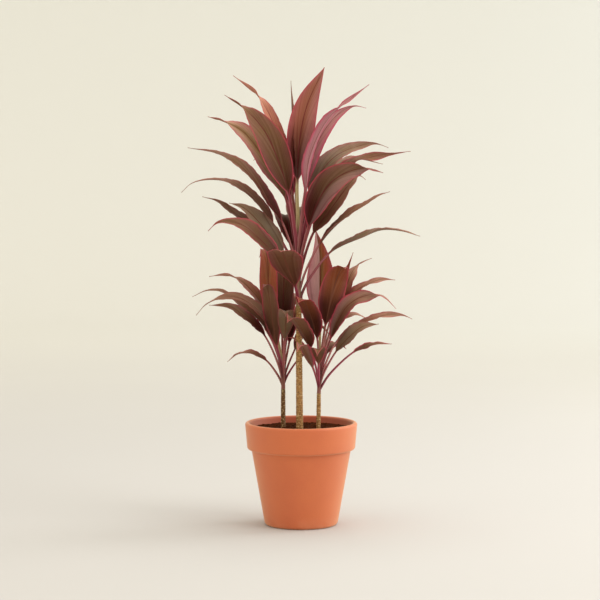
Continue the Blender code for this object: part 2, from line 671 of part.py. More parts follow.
def main():
    fresh_scene()
    clay = material("terracotta", (0.58, 0.20, 0.10), 0.75, 0.3)
    earth = material("potting_soil", (0.05, 0.025, 0.012), 0.95, 0.2)
    bark = material("cane_bark", (0.32, 0.18, 0.07), 0.7, 0.3)
    foliage = material("leaf", (0.12, 0.035, 0.03), 0.45, 0.4)
    build_pot(clay)
    build_soil(earth)
    build_cane("cane_main", MAIN_CANE, bark, 1)
    build_cane("cane_left", LEFT_CANE, bark, 2)
    build_cane("cane_right", RIGHT_CANE, bark, 3)
    build_crown("crown_main", MAIN_CANE, MAIN_LEAVES, foliage)
    build_crown("crown_left", LEFT_CANE, LEFT_LEAVES, foliage)
    build_crown("crown_right", RIGHT_CANE, RIGHT_LEAVES, foliage)


main()
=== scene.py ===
"""A ti plant in a terracotta pot, dressed in full: ribbed and veined leaves, ringed canes, clay and soil."""

import math
import random
from collections import namedtuple
from functools import partial

import bmesh
import bpy
import numpy as np
from bpy.props import FloatProperty, FloatVectorProperty, IntProperty, PointerProperty
from bpy.types import Operator, Panel, PropertyGroup
from mathutils import Matrix, Vector, noise


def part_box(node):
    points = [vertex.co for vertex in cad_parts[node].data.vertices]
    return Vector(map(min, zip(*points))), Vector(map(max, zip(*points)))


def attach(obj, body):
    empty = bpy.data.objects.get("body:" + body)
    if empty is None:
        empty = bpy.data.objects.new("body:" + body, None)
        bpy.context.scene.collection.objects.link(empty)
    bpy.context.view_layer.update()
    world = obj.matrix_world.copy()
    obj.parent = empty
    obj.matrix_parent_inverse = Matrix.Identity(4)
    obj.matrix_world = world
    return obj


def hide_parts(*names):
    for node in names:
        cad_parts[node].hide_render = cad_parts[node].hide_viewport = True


bl_info = {
    "name": "Potted Ti Plant",
    "version": (1, 0, 0),
    "blender": (4, 5, 0),
    "location": "3D View > Sidebar > Ti Plant",
    "description": "Builds a ti plant with three canes in a terracotta pot",
    "category": "Add Mesh",
}

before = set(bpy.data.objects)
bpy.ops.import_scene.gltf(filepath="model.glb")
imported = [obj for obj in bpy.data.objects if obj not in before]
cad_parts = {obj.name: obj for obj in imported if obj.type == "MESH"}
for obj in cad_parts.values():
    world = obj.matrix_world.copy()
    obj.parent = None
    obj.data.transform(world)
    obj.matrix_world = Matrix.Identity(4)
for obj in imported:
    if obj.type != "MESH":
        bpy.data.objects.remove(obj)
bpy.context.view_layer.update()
POT_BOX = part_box("pot")
MM = 0.001
GAP = 0.3

# Pot, in millimetres
RIM_TOP = POT_BOX[1].z / MM
FOOT_RADIUS = 66.0
FOOT_ROUNDING = 8.0
BODY_RADIUS_LOW = 73.5
BODY_RADIUS_HIGH = 99.0
BAND_BOTTOM = 152.0
BAND_RADIUS_LOW = 108.0
BAND_RADIUS_HIGH = 112.0
BAND_ROUNDING = 5.0
BAND_STEP = 2.5
INNER_STEP_HEIGHT = 164.0
INNER_STEP = 1.5
LIP_THICKNESS = 9.5
WALL_THICKNESS = 7.0
FLOOR_THICKNESS = 8.0
FLOOR_BEVEL = 6.0
LONGEST_FACE = 14.0
DRAIN_COUNT = 3
DRAIN_RADIUS = 5.0
DRAIN_CIRCLE = 34.0
DRAIN_SIDES = 32

# Soil, in millimetres
SOIL_TOP = 195.0
SOIL_DIP = 2.0
SOIL_SIDES = 128
SOIL_RINGS = 42
SOIL_SINKS = 0.6
LUMPS = ((1.1, 3, 22), (1.0, 8, 9), (0.7, 5, 4))  # height, seed and width of the lumps in the soil

# Canes, in millimetres
CANE_DEPTH = 55.0
CANE_SIDES = 40
CANE_STEP = 0.8
SCAR_WIDTH = 0.7
SCAR_SHADE_WIDTH = 0.55
SCAR_REACH = 4.0
BARK_WOBBLE = 0.25
BARK_WOBBLE_CIRCLE = 9.0
GREEN_FROM = 0.95
GREEN_BUD = 175.0  # a cane whose bud is this high has a green top, and one with a lower bud a browner one
PALE_BUD = 260.0  # a bud this high would be pale all over
BUD_SIDES = 24
BUD_RINGS = 16

# Leaves, in millimetres
KNEE_OUT = 0.3
KNEE_UP = 0.42
RISE = 0.85
FALL = 1.45
WIDEST = RISE / (RISE + FALL)
TIP_THICKNESS = 0.9
PETIOLE_THICKNESS = 2.6
PETIOLE_THINNING = 0.8
PETIOLE_FLARE = 1.15
PETIOLE_TAPER = 0.8
TIP_WIDTH = 1.3
CHANNEL_DEGREES = 17.0
PETIOLE_CHANNEL_DEGREES = 28.0
BLADE_OPENS = 0.25
WAVE_HEIGHT = 1.6
WAVES = 2.5
WAVE_FULL_WIDTH = 30.0
WAVE_SIDE_SHIFT = 2.2
WAVE_LEAF_SHIFT = 1.7
RUFFLE_FULL_WIDTH = 12.0
RUFFLE_TURNS = (0.31, 0.53)  # how fast an edge's two small waves turn, in radians a millimetre
GROOVE_DEPTH = 0.35
GROOVE_WIDTH = 1.1
TANGENT_REACH = 1.5
CURVE_STEPS = 24
PETIOLE_STEPS = 14
BLADE_STEPS = 54
VEIN_SLANT = math.radians(7)  # the veins leave the rib at this angle
CURL_LENGTH = 0.32  # share of the blade in which its tip turns over
FACE_SET_AT = 18  # station of the blade, a third along it, whose face is given
ACROSS = (-1.0, -0.93, -0.8, -0.55, -0.28, -0.09, 0.0, 0.09, 0.28, 0.55, 0.8, 0.93, 1.0)

# The bake map: two rows of cells, one leaf in each, with the bud in the last
MAP_ROWS = 2
MAP_MARGIN = 0.03
MAP_EDGE = 0.06
MAP_END = 0.004

# Three values of each point of a leaf go into each of these
LEAF_VALUES = ("blade", "line", "age", "hue", "cast")

# Backdrop: a round floor and wall, its parts as shares of its radius
BACKDROP_SIDES = 96
BACKDROP_FLAT = (0.0, 0.2, 0.45)
BACKDROP_BEND = 0.3
BACKDROP_HEIGHT = 0.34

# Camera: place in metres, tilt in degrees, lens in millimetres
CAMERA_PLACE = (-0.00238, -4.1, 0.73)
CAMERA_TILT = -3.9
CAMERA_LENS = 123.78

Cane = namedtuple("Cane", "foot head foot_radius head_radius bud_height petiole_width weathered")
Leaf = namedtuple("Leaf", "base points width face twist look curl fall fold",
                  defaults=((0.7, 0), FALL, CHANNEL_DEGREES))

# How a leaf has coloured: young salmon, dark maroon, grey-olive; flushed pink, olive along its rib, pale
# stalk; rust, a painted highlight in pale pink on one half (minus for the other), pale towards its tip,
# partly painted light; crimson edge
LOOKS = {
    "crown": (1.0, 0.8, 0.0, 0.35, 0.2, 1.0, 0.2, -0.25, 0.2, 1.0),
    "salmon": (1.0, 0.0, 0.0, 0.2, 0.0, 0.2, 0.0, 0.0, 0.6, 0.5),
    "mauve": (0.5, 0.0, 0.0, 1.0, 0.0, 0.1, 0.0, 0.4, 0.6, 0.7),
    "tan": (0.5, 0.2, 0.4, 0.15, 0.2, 0.2, 0.1, 0.15, 0.95, 0.5),
    "straw": (0.3, 0.1, 0.6, 0.4, 0.9, 0.1, 0.0, 0.0, 0.8, 0.8),
    "brown": (0.1, 0.5, 0.3, 0.2, 0.0, 0.0, 0.1, 0.0, 0.2, 0.9),
    "umber": (0.15, 0.45, 0.4, 0.1, 0.0, 0.1, 0.1, 0.0, 0.6, 0.3),
    "deep": (0.0, 1.0, 0.35, 0.1, 0.1, 0.1, 0.1, 0.0, 0.3, 0.3),
    "olive": (0.05, 0.2, 0.85, 0.1, 0.2, 0.1, 0.0, 0.0, 0.4, 0.35),
    "sage": (0.0, 0.45, 1.0, 0.1, 0.0, 0.1, 0.0, 0.15, 0.65, 0.5),
    "shield": (0.1, 1.0, 0.35, 0.15, 0.0, 0.1, 0.0, -0.35, 0.45, 1.0),
    "rust": (0.1, 1.0, 0.0, 0.25, 0.1, 0.2, 0.8, 0.0, 0.0, 1.0),
    "striped": (0.35, 0.0, 0.0, 0.15, 0.45, 1.0, 0.75, 0.0, 0.2, 1.0),
    "folded": (0.3, 0.1, 0.1, 0.5, 0.9, 1.0, 0.8, 0.9, 0.0, 0.9),
    "rose": (0.3, 0.4, 0.5, 0.4, 0.0, 0.1, 0.1, 0.25, 1.0, 1.0),
}

# The last value of each cane darkens all its bark: painted shade, most of it on the left cane.
MAIN_CANE = Cane((-3, -36, SOIL_TOP), (-5, -34, 442), 7.0, 5.5, 105, 8.5, 0.0)
LEFT_CANE = Cane((-36, 7, SOIL_TOP), (-36, 6, 272), 4.7, 4.2, 42, 6.0, 0.9)
RIGHT_CANE = Cane((34, -38, SOIL_TOP), (35, -36, 268), 4.4, 4.0, 42, 6.0, 0.1)

# A leaf grows from its base, a height on the cane, through the start of its blade to its tip.
# Its upper face looks along face where the blade is widest, and it twists from start to tip.
MAIN_LEAVES = [
    # upright leaves round the bud
    Leaf(530, [(-8, -24, 686), (-3, -8, 768), (12, 2, 838), (46, 6, 912)],
         56, (0, -1, 0.1), -10, "crown", fall=1.1),
    Leaf(520, [(-25, -42, 664), (-43, -50, 722), (-71, -52, 784), (-108, -48, 826), (-150, -40, 856)],
         58, (0.1, -1, 0.1), 15, "brown", (0.8, 110)),
    Leaf(525, [(-20, -12, 672), (-38, 8, 748), (-60, 24, 812), (-91, 34, 862), (-136, 44, 897)],
         34, (0.6, -0.7, 0.2), -50, "salmon", (0.77, 150)),
    Leaf(525, [(8, -44, 664), (13, -50, 724), (30, -54, 772), (54, -56, 812), (98, -52, 850),
               (133, -46, 876)], 28, (-0.6, 0.7, 0.5), 30, "mauve", (0.76, 130)),
    Leaf(533, [(10, -22, 676), (24, -10, 744), (48, 0, 790), (74, 8, 820), (104, 12, 836), (129, 14, 831)],
         34, (-0.2, -1, 0.2), 20, "mauve", (0.82, 100)),
    Leaf(537, [(-12, -14, 680), (-17, 10, 800), (-20, 22, 886)], 40, (1, -0.2, 0), 10, "deep"),
    # left side
    Leaf(500, [(-31, -18, 652), (-57, -4, 700), (-86, 8, 750), (-117, 14, 786), (-156, 18, 806),
               (-186, 22, 815)], 50, (0.5, -0.9, 0.4), -20, "straw", (0.86, 120), fall=1.3),
    Leaf(490, [(-38, -46, 606), (-60, -58, 640), (-88, -70, 684), (-122, -80, 720), (-160, -88, 741),
               (-220, -94, 753)], 46, (0.4, -0.45, 0.8), 10, "deep", fall=1.7),
    Leaf(485, [(-56, -22, 598), (-84, -8, 640), (-112, 4, 666), (-144, 14, 685), (-184, 24, 690),
               (-220, 30, 682), (-240, 34, 664)], 44, (0.2, -0.2, 1), -15, "umber", fall=2.3),
    Leaf(475, [(-40, -24, 552), (-72, -14, 584), (-112, 0, 610), (-140, 12, 627), (-165, 20, 646),
               (-198, 30, 656)], 34, (0.2, -0.5, 0.8), 10, "deep"),
    Leaf(474, [(-37, -44, 540), (-62, -48, 580), (-88, -52, 613), (-114, -56, 636), (-141, -60, 645)],
         50, (0.35, -0.75, 0.7), 0, "olive"),
    Leaf(462, [(-42, -56, 528), (-62, -72, 555), (-86, -88, 580), (-110, -100, 601), (-138, -108, 610),
               (-162, -113, 608), (-180, -117, 592)], 48, (0.3, -0.75, 0.7), -20, "brown", fall=1.9),
    # right side
    Leaf(510, [(20, -22, 650), (40, -10, 706), (72, 6, 739), (110, 18, 755), (146, 26, 762), (174, 28, 753)],
         46, (-0.3, -0.75, 0.6), 10, "sage", (0.78, 110), fall=1.8),
    Leaf(490, [(15, -50, 598), (34, -66, 650), (58, -82, 685), (91, -98, 706), (126, -108, 713),
               (158, -116, 704)], 60, (-0.3, -1, 0.35), 10, "shield", (0.84, 140)),
    Leaf(500, [(27, -22, 620), (66, 0, 690), (106, 20, 726), (138, 32, 734), (170, 42, 740), (220, 52, 746)],
         34, (-0.1, -0.25, 1), 15, "brown", (0.72, 120)),
    Leaf(505, [(16, -8, 632), (56, 30, 696), (104, 62, 730), (166, 92, 721)],
         46, (-0.3, -0.3, 1), 10, "olive"),
    Leaf(480, [(24, -42, 584), (44, -48, 614), (69, -54, 648), (94, -58, 682), (112, -58, 699),
               (126, -58, 690)], 44, (-0.4, -0.8, 0.5), 10, "umber", (0.86, 150)),
    Leaf(464, [(35, -50, 562), (64, -64, 598), (94, -76, 623), (124, -86, 642), (150, -94, 660),
               (172, -98, 668)], 36, (-0.25, -0.35, 1), 20, "umber"),
    Leaf(449, [(56, -40, 546), (78, -36, 560), (118, -28, 576), (158, -20, 591), (198, -14, 589),
               (236, -10, 578)], 36, (-0.1, -0.12, 1), -10, "olive", (0.92, 60)),
    # front and back
    Leaf(444, [(-12, -66, 482), (-25, -94, 518), (-32, -124, 541), (-35, -168, 554), (-37, -216, 559),
               (-38, -252, 558)], 68, (0.1, 0.5, 1), 0, "brown", fold=4),
    Leaf(485, [(-18, -10, 556), (-27, 30, 602), (-32, 80, 618), (-38, 140, 606), (-42, 190, 574)],
         52, (0.1, -0.5, 1), 10, "deep"),
    Leaf(505, [(-4, -12, 574), (-6, 22, 616), (-6, 66, 632), (-4, 130, 628), (0, 196, 596)],
         52, (0, -0.5, 1), -10, "olive"),
    Leaf(495, [(8, -12, 588), (26, 24, 640), (44, 66, 662), (66, 120, 662), (88, 176, 640)],
         52, (-0.1, -0.5, 1), 10, "brown"),
    Leaf(497, [(-22, 0, 640), (-40, 40, 698), (-60, 84, 732), (-82, 130, 742), (-98, 168, 728)],
         50, (0.2, -0.5, 1), 10, "rust"),
]

LEFT_LEAVES = [
    Leaf(302, [(-54, 6, 404), (-65, 14, 470), (-67, 28, 528), (-74, 66, 548), (-86, 116, 530)],
         38, (0.1, -1, 0.1), 0, "striped"),
    Leaf(296, [(-48, -8, 356), (-58, -26, 418), (-64, -48, 466), (-68, -84, 486), (-74, -130, 484)],
         34, (0.1, 1, 0.5), 0, "brown", fold=8),
    Leaf(306, [(-38, 14, 376), (-36, 26, 450), (-34, 46, 504), (-33, 84, 520), (-32, 134, 506)],
         44, (0, -1, 0.3), 0, "deep"),
    Leaf(290, [(-33, -16, 372), (-31, -34, 400), (-30, -58, 426), (-30, -98, 436), (-30, -140, 428)],
         34, (0, 0.7, 1), 0, "olive"),
    Leaf(300, [(-61, 14, 396), (-81, 24, 444), (-104, 34, 472), (-127, 42, 490), (-154, 50, 498),
               (-186, 58, 494)], 28, (0.2, -0.5, 0.8), 15, "tan", (0.76, 110), fall=1.6),
    Leaf(294, [(-61, 6, 374), (-82, 8, 408), (-108, 10, 431), (-136, 12, 452), (-160, 14, 467),
               (-190, 18, 468), (-218, 20, 456)], 28, (0.1, -0.35, 1), 0, "umber", fall=1.7),
    Leaf(292, [(-57, -8, 374), (-66, -16, 398), (-80, -24, 426), (-106, -34, 449), (-134, -42, 460),
               (-164, -48, 456), (-188, -52, 445), (-207, -54, 424)],
         32, (0.3, -0.6, 0.8), -15, "umber", (0.8, 90), fall=1.9),
    Leaf(284, [(-71, -16, 378), (-92, -34, 404), (-114, -52, 424), (-140, -66, 442), (-180, -80, 446)],
         30, (0.25, -0.7, 0.7), 0, "deep"),
    Leaf(275, [(-69, 24, 326), (-86, 32, 335), (-104, 40, 341), (-128, 50, 338), (-150, 60, 321)],
         24, (0.05, -0.2, 1), 10, "tan"),
    Leaf(288, [(-24, 20, 362), (-18, 32, 404), (-8, 56, 424), (6, 92, 424), (20, 126, 404)],
         32, (-0.1, -0.4, 1), 0, "rust"),
    Leaf(280, [(-13, 20, 348), (2, 38, 378), (20, 64, 392), (42, 94, 388), (60, 116, 370)],
         30, (-0.3, -0.4, 1), 0, "deep"),
    Leaf(276, [(-10, 18, 324), (4, 34, 338), (20, 60, 344), (34, 92, 334), (44, 116, 312)],
         26, (-0.2, -0.4, 1), 0, "brown"),
    Leaf(298, [(-27, 16, 388), (-26, 22, 424), (-18, 32, 450), (-6, 50, 456), (4, 76, 446)],
         36, (-0.5, -0.8, 0.4), 20, "rose"),
    Leaf(286, [(-50, 34, 352), (-64, 66, 392), (-80, 100, 404), (-100, 136, 392)],
         32, (0.2, -0.5, 1), 0, "brown"),
]

RIGHT_LEAVES = [
    Leaf(298, [(38, -18, 416), (38, -6, 480), (37, 3, 545), (28, 10, 594)], 58, (0, -1, 0.1), 10, "folded"),
    Leaf(288, [(31, -62, 378), (21, -78, 420), (9, -98, 450), (1, -136, 462), (-5, -180, 458)],
         46, (0.5, 0.7, 0.7), 0, "rust", fold=8),
    Leaf(280, [(18, -76, 360), (5, -96, 392), (-9, -116, 416), (-19, -148, 427), (-27, -184, 420)],
         44, (0.5, 0.6, 0.8), 0, "brown"),
    Leaf(296, [(48, -58, 406), (58, -70, 456), (70, -82, 500), (79, -112, 521), (85, -156, 521)],
         52, (-0.1, 1, 0.3), 0, "rust", fold=10),
    Leaf(298, [(58, -44, 416), (78, -46, 470), (92, -46, 514), (102, -44, 548)],
         30, (-0.8, -0.4, 0.2), 0, "rust"),
    Leaf(294, [(60, -30, 398), (82, -24, 456), (98, -18, 502), (114, -14, 523), (140, -10, 534)],
         36, (-0.6, -0.7, 0.3), 30, "tan", (0.74, 140)),
    Leaf(292, [(66, -38, 412), (98, -40, 462), (128, -38, 483), (160, -34, 494), (186, -30, 492)],
         28, (-0.2, -0.35, 1), 10, "tan", (0.78, 90)),
    Leaf(288, [(58, -56, 378), (72, -68, 414), (92, -80, 446), (121, -92, 464), (157, -100, 466),
               (184, -104, 440)], 36, (-0.3, -0.8, 0.6), -35, "rose", (0.68, 130)),
    Leaf(290, [(54, -32, 376), (86, -26, 416), (108, -22, 423), (133, -16, 414)],
         26, (-0.1, -0.3, 1), 0, "tan"),
    Leaf(282, [(70, -46, 372), (88, -50, 388), (122, -54, 410), (158, -58, 423), (196, -60, 426),
               (218, -60, 417)], 25, (-0.1, -0.35, 1), 0, "tan", (0.74, 110)),
    Leaf(278, [(68, -62, 352), (80, -72, 368), (98, -86, 388), (120, -102, 406), (150, -118, 412)],
         36, (-0.3, -0.75, 0.7), 10, "olive"),
    Leaf(272, [(103, -26, 348), (122, -18, 355), (148, -10, 363), (181, 0, 363)],
         24, (-0.05, -0.25, 1), 0, "brown"),
    Leaf(276, [(34, -70, 328), (34, -88, 350), (33, -116, 362), (32, -156, 366), (30, -190, 356)],
         34, (0, 0.5, 1), 0, "brown"),
    Leaf(274, [(23, -54, 318), (11, -70, 346), (3, -92, 366), (-3, -126, 372), (-8, -158, 362)],
         28, (0.4, 0.5, 1), 0, "rose"),
    Leaf(273, [(16, -28, 334), (0, -14, 360), (-14, -10, 374), (-28, -8, 377)],
         20, (0.3, -0.3, 1), 0, "brown"),
    Leaf(292, [(48, -10, 398), (58, 22, 448), (66, 58, 470), (80, 106, 472), (94, 146, 454)],
         36, (-0.1, -0.5, 1), 0, "rust"),
    Leaf(284, [(50, -10, 342), (61, 18, 357), (74, 50, 359), (92, 86, 345)],
         30, (-0.2, -0.5, 1), 0, "brown"),
]


# Settings that many nodes share
COLOURS = {"data_type": "RGBA"}
SMOOTH = {"interpolation_type": "SMOOTHSTEP"}
TIMES = {"operation": "MULTIPLY"}


def linear(hex_colour):
    """An sRGB hex colour as linear red, green, blue and alpha."""
    channels = []
    for k in (0, 2, 4):
        value = int(hex_colour[k:k + 2], 16) / 255
        channels.append(value / 12.92 if value <= 0.04045 else ((value + 0.055) / 1.055) ** 2.4)
    return (*channels, 1.0)


def colour(name, hex_colour, description):
    return FloatVectorProperty(name=name, description=description, default=linear(hex_colour),
                               size=4, min=0.0, max=1.0, subtype="COLOR")


def length(name, millimetres, description):
    return FloatProperty(name=name, description=description, default=millimetres * MM, min=0.0,
                         precision=5, subtype="DISTANCE", unit="LENGTH")


def number(name, default, least, most, description):
    return IntProperty(name=name, description=description, default=default, min=least, max=most)


def power(name, watts, description):
    return FloatProperty(name=name, description=description, default=watts, min=0.0,
                         subtype="POWER", unit="POWER")


class PotSettings(PropertyGroup):
    fired: colour("Fired clay", "CB683A", "Colour of the bare clay")
    dark: colour("Dark clay", "C76338", "Colour where the clay was fired harder")
    damp: colour("Damp clay", "9C3A1A", "Colour of the damp clay over the soil")
    bloom: colour("Lime bloom", "DDA98C", "Pale bloom that dries on the clay")
    grit: length("Grit", 1.6, "Size of the sand grains in the clay")
    sides: number("Sides", 144, 24, 256, "Faces round the pot")


class SoilSettings(PropertyGroup):
    peat: colour("Peat", "391A08", "Colour of the dark soil")
    dry: colour("Dry crumbs", "64300E", "Colour of the crumbs that have dried")
    bark: colour("Bark", "71482A", "Colour of the bark chips")
    crumb: length("Crumb", 3.2, "Size of the largest crumbs")
    crumbs: number("Crumbs", 900, 0, 3000, "How many loose crumbs lie on top")
    chips: number("Chips", 46, 0, 400, "How many bark chips lie on top")


class CaneSettings(PropertyGroup):
    bark: colour("Bark", "A67C4A", "Colour of the cane between its rings")
    # also the colour of the worn patches, and of the painted shade that darkens a whole cane
    scar: colour("Scars", "5F3F22", "Colour of the leaf scars")
    fleck: colour("Flecks", "D6BC8C", "Colour of the dry flecks on the bark")
    green: colour("Green top", "8C8A5C", "Colour of the youngest bark, under the crown")
    spacing: length("Ring spacing", 4.4, "Height from one leaf scar to the next")
    scar_height: length("Scar height", 0.45, "How far a leaf scar stands out")


class LeafSettings(PropertyGroup):
    mature: colour("Mature", "704B2C", "Colour of a full-grown blade")
    maroon: colour("Maroon", "47190F", "Dark colour of a blade near its stalk")
    rust: colour("Rust", "CE7044", "Rust red of some blades")
    young: colour("Young", "C8745E", "Colour of a young blade")
    # pale colour towards the tip, partly painted light where the far, arching part of a blade catches the
    # light; also the colour of the pale streaks
    tip: colour("Tip", "D4AA92", "Pale colour of a blade towards its tip")
    olive: colour("Grey olive", "948872", "Colour where a blade has turned green")
    rib_olive: colour("Olive stripe", "8E7442", "Colour along the rib of a young blade")
    margin: colour("Margin", "C84E60", "Colour of a blade's edge")
    flush: colour("Flush", "C85C80", "Pink of a flushed blade")
    mauve: colour("Mauve", "C48A96", "Colour of a blade that is flushed all over")
    # painted highlight on the lit half of a folded blade; the same pink also lies at the tip of such a blade
    pink_and_highlight: colour("Dusty pink", "D6ACAC", "Pale pink of the half of a folded blade that catches the light")
    rib: colour("Rib", "6E1F2A", "Colour of the midrib")
    under: colour("Underside", "80543E", "Colour of a blade's underside")
    stalk: colour("Stalk", "A2445A", "Colour of the leaf stalks")
    # pale sides of the stalks: their thin margins, with a painted highlight along them
    wing_and_highlight: colour("Stalk sides", "D28F98", "Colour of the thin sides of the stalks")
    pale: colour("Pale stalk", "D8CC9C", "Colour of the youngest stalks and of the bud")
    edge: length("Edge thickness", 0.5, "Thickness of a blade at its edge")
    ruffle: length("Ruffle", 0.5, "Height of the small waves along an edge")
    vein: length("Vein spacing", 3.4, "Distance from vein to vein")


class StageSettings(PropertyGroup):
    paper: colour("Backdrop", "E8E9E4", "Colour of the backdrop")
    floor: colour("Floor", "C1C1C0", "Colour of the floor under the lamps")
    fill: FloatProperty(name="Fill light", description="Strength of the light from all round", default=0.92,
                        min=0.0)
    key: power("Key light", 50.0, "Power of the soft lamp on the right")
    side: power("Side light", 56.0, "Power of the soft lamp behind, on the right")
    top: power("Top light", 42.0, "Power of the soft lamp overhead")
    left: power("Left light", 13.0, "Power of the weak lamp on the left")
    wall: power("Backdrop light", 56.0, "Power of the soft lamp on the backdrop")
    radius: length("Backdrop radius", 7000, "How far away the round backdrop stands")


def add_node(tree, kind, inputs, out=0, **settings):
    """Adds a shader node with its settings and its inputs, each a value or a socket to link from.

    Gives its output of that name or number, or all its outputs if out is None.
    """
    made = tree.nodes.new("ShaderNode" + kind)
    for name, value in settings.items():
        setattr(made, name, value)
    for key, value in inputs.items():
        if isinstance(value, bpy.types.NodeSocket):
            tree.links.new(value, made.inputs[key])
        else:
            made.inputs[key].default_value = value
    return made.outputs[:] if out is None else made.outputs[out]


def new_material(name):
    """An empty node material, and add_node for its tree."""
    made = bpy.data.materials.new(name)
    made.use_nodes = True
    made.node_tree.nodes.clear()
    return made, partial(add_node, made.node_tree)


def fired_terracotta(settings):
    """Unglazed terracotta, pressed and fired.

    The eye sees a matt, even orange clay with the finest sand in it, paler where lime has dried on the lip
    and by the foot, and paler too towards its outline, where the dust on its surface catches light.
    """
    made, node = new_material("fired_terracotta")
    place = node("TexCoord", {}, "Object")
    height = node("SeparateXYZ", {0: place}, "Z")

    # the fire leaves broad clouds, a hand across
    clouds = node("TexNoise", {"Vector": place, "Scale": 12.0, "Detail": 3.0})
    harder = node("MapRange", {0: clouds, 1: 0.35, 2: 0.68}, **SMOOTH)
    tone = node("Mix", {0: harder, 6: settings.dark, 7: settings.fired}, 2, **COLOURS)
    sand = node("TexNoise", {"Vector": place, "Scale": 1.0 / settings.grit, "Detail": 3.0, "Roughness": 0.7})
    grain = node("MapRange", {0: sand, 1: 0.3, 2: 0.72, 3: 0.95, 4: 1.04})
    tone = node("VectorMath", {0: tone, "Scale": grain}, operation="SCALE")

    # damp clay inside the rim, over the soil
    level = node("Mapping", {"Vector": place, "Scale": (1.0, 1.0, 0.0)})
    reach = node("VectorMath", {0: level}, "Value", operation="LENGTH")
    within = node("MapRange", {0: reach, 1: (BAND_RADIUS_HIGH - LIP_THICKNESS) * MM,
                               2: (BAND_RADIUS_HIGH - 3) * MM, 3: 0.8, 4: 0.0}, **SMOOTH)
    upper = node("MapRange", {0: height, 1: (SOIL_TOP - 12) * MM, 2: (SOIL_TOP - 8) * MM})
    damp = node("Math", {0: within, 1: upper}, **TIMES)

    # lime that dried with the water, along the foot and over the lip
    foot = node("MapRange", {0: height, 2: 0.03, 3: 0.12, 4: 0.0}, **SMOOTH)
    rim = node("MapRange", {0: height, 1: (RIM_TOP - 6) * MM, 2: RIM_TOP * MM, 4: 0.08}, **SMOOTH)
    either = node("Math", {0: foot, 1: rim}, operation="MAXIMUM")
    veil = node("TexNoise", {"Vector": place, "Scale": 32.0, "Detail": 5.0})
    patchy = node("MapRange", {0: veil, 1: 0.42, 2: 0.62}, **SMOOTH)
    dried = node("Math", {0: either, 1: patchy}, **TIMES)
    for amount, hue in ((damp, settings.damp), (dried, settings.bloom)):
        tone = node("Mix", {0: amount, 6: tone, 7: hue}, 2, **COLOURS)

    rough = node("MapRange", {0: sand, 1: 0.3, 2: 0.7, 3: 0.5, 4: 0.62})
    bump = node("Bump", {"Strength": 0.2, "Distance": 0.0002, "Height": sand})
    clay = node("BsdfPrincipled", {
        "Base Color": tone, "Roughness": rough, "IOR": 1.5, "Specular IOR Level": 0.5, "Sheen Weight": 0.45,
        "Sheen Roughness": 0.55, "Sheen Tint": linear("FFE8C0"), "Normal": bump})
    node("OutputMaterial", {"Surface": clay}, None)
    return made


def potting_soil(settings, name, flecks):
    """Peat and bark potting soil, sieved and watered: dark, matt and crumbly, paler where it has dried."""
    made, node = new_material(name)
    place = node("TexCoord", {}, "Object")
    # lumps about a centimetre across, and grains as wide as a crumb
    lumps = node("TexNoise", {"Vector": place, "Scale": 90.0, "Detail": 6.0})
    grain = node("TexNoise", {"Vector": place, "Scale": 1 / settings.crumb, "Detail": 5, "Roughness": 0.75})
    dryness = node("MapRange", {0: lumps, 1: 0.5, 2: 0.72, 4: 0.7}, **SMOOTH)
    speck = node("MapRange", {0: grain, 1: 0.62, 2: 0.75, 4: 0.5}, **SMOOTH)
    tone = settings.peat
    for amount, hue in ((dryness, flecks), (speck, settings.dry)):
        tone = node("Mix", {0: amount, 6: tone, 7: hue}, 2, **COLOURS)
    rough = node("MapRange", {0: lumps, 1: 0.3, 2: 0.7, 3: 0.8, 4: 0.97})
    bump = node("Bump", {"Strength": 0.7, "Distance": 0.0012, "Height": grain})
    earth = node("BsdfPrincipled", {"Base Color": tone, "Roughness": rough, "Specular IOR Level": 0.02,
                                    "Normal": bump})
    node("OutputMaterial", {"Surface": earth}, None)
    return made


def ringed_bark(settings):
    """Cordyline cane bark, grown ring by ring: dry, tan and satin, with dark leaf scars and pale flecks, and
    painted shade that darkens a whole cane.
    """
    made, node = new_material("ringed_cane_bark")
    place = node("TexCoord", {}, "Object")
    scar, green, weathered = (node("Attribute", {}, "Fac", attribute_name=name)
                              for name in ("scar", "green", "weathered"))
    # fibres and patches about 4 mm across; the fibres lie round the cane, so they are drawn flat
    flat = node("Mapping", {"Vector": place, "Scale": (1.0, 1.0, 1.5)})
    fibre = node("TexNoise", {"Vector": flat, "Scale": 240.0, "Detail": 4.0})
    patch = node("TexNoise", {"Vector": place, "Scale": 280.0, "Detail": 3.0})
    worn = node("MapRange", {0: patch, 1: 0.45, 2: 0.65, 4: 0.6}, **SMOOTH)
    fleck = node("MapRange", {0: fibre, 1: 0.54, 2: 0.66, 4: 0.75}, **SMOOTH)
    broken = node("MapRange", {0: patch, 1: 0.4, 2: 0.6, 3: 0.45}, **SMOOTH)
    broken = node("Math", {0: broken, 1: scar}, **TIMES)
    tone = settings.bark
    # painted shade: each cane's weathered value darkens its whole bark towards the scar colour
    for amount, hue in ((worn, settings.scar), (weathered, settings.scar), (fleck, settings.fleck),
                        (green, settings.green), (broken, settings.scar)):
        tone = node("Mix", {0: amount, 6: tone, 7: hue}, 2, **COLOURS)
    rough = node("MapRange", {0: fibre, 1: 0.3, 2: 0.7, 3: 0.5, 4: 0.72})
    bump = node("Bump", {"Strength": 0.5, "Distance": 0.0004, "Height": fibre})
    bark = node("BsdfPrincipled", {"Base Color": tone, "Roughness": rough, "Specular IOR Level": 0.2,
                                   "Normal": bump})
    node("OutputMaterial", {"Surface": bark}, None)
    return made


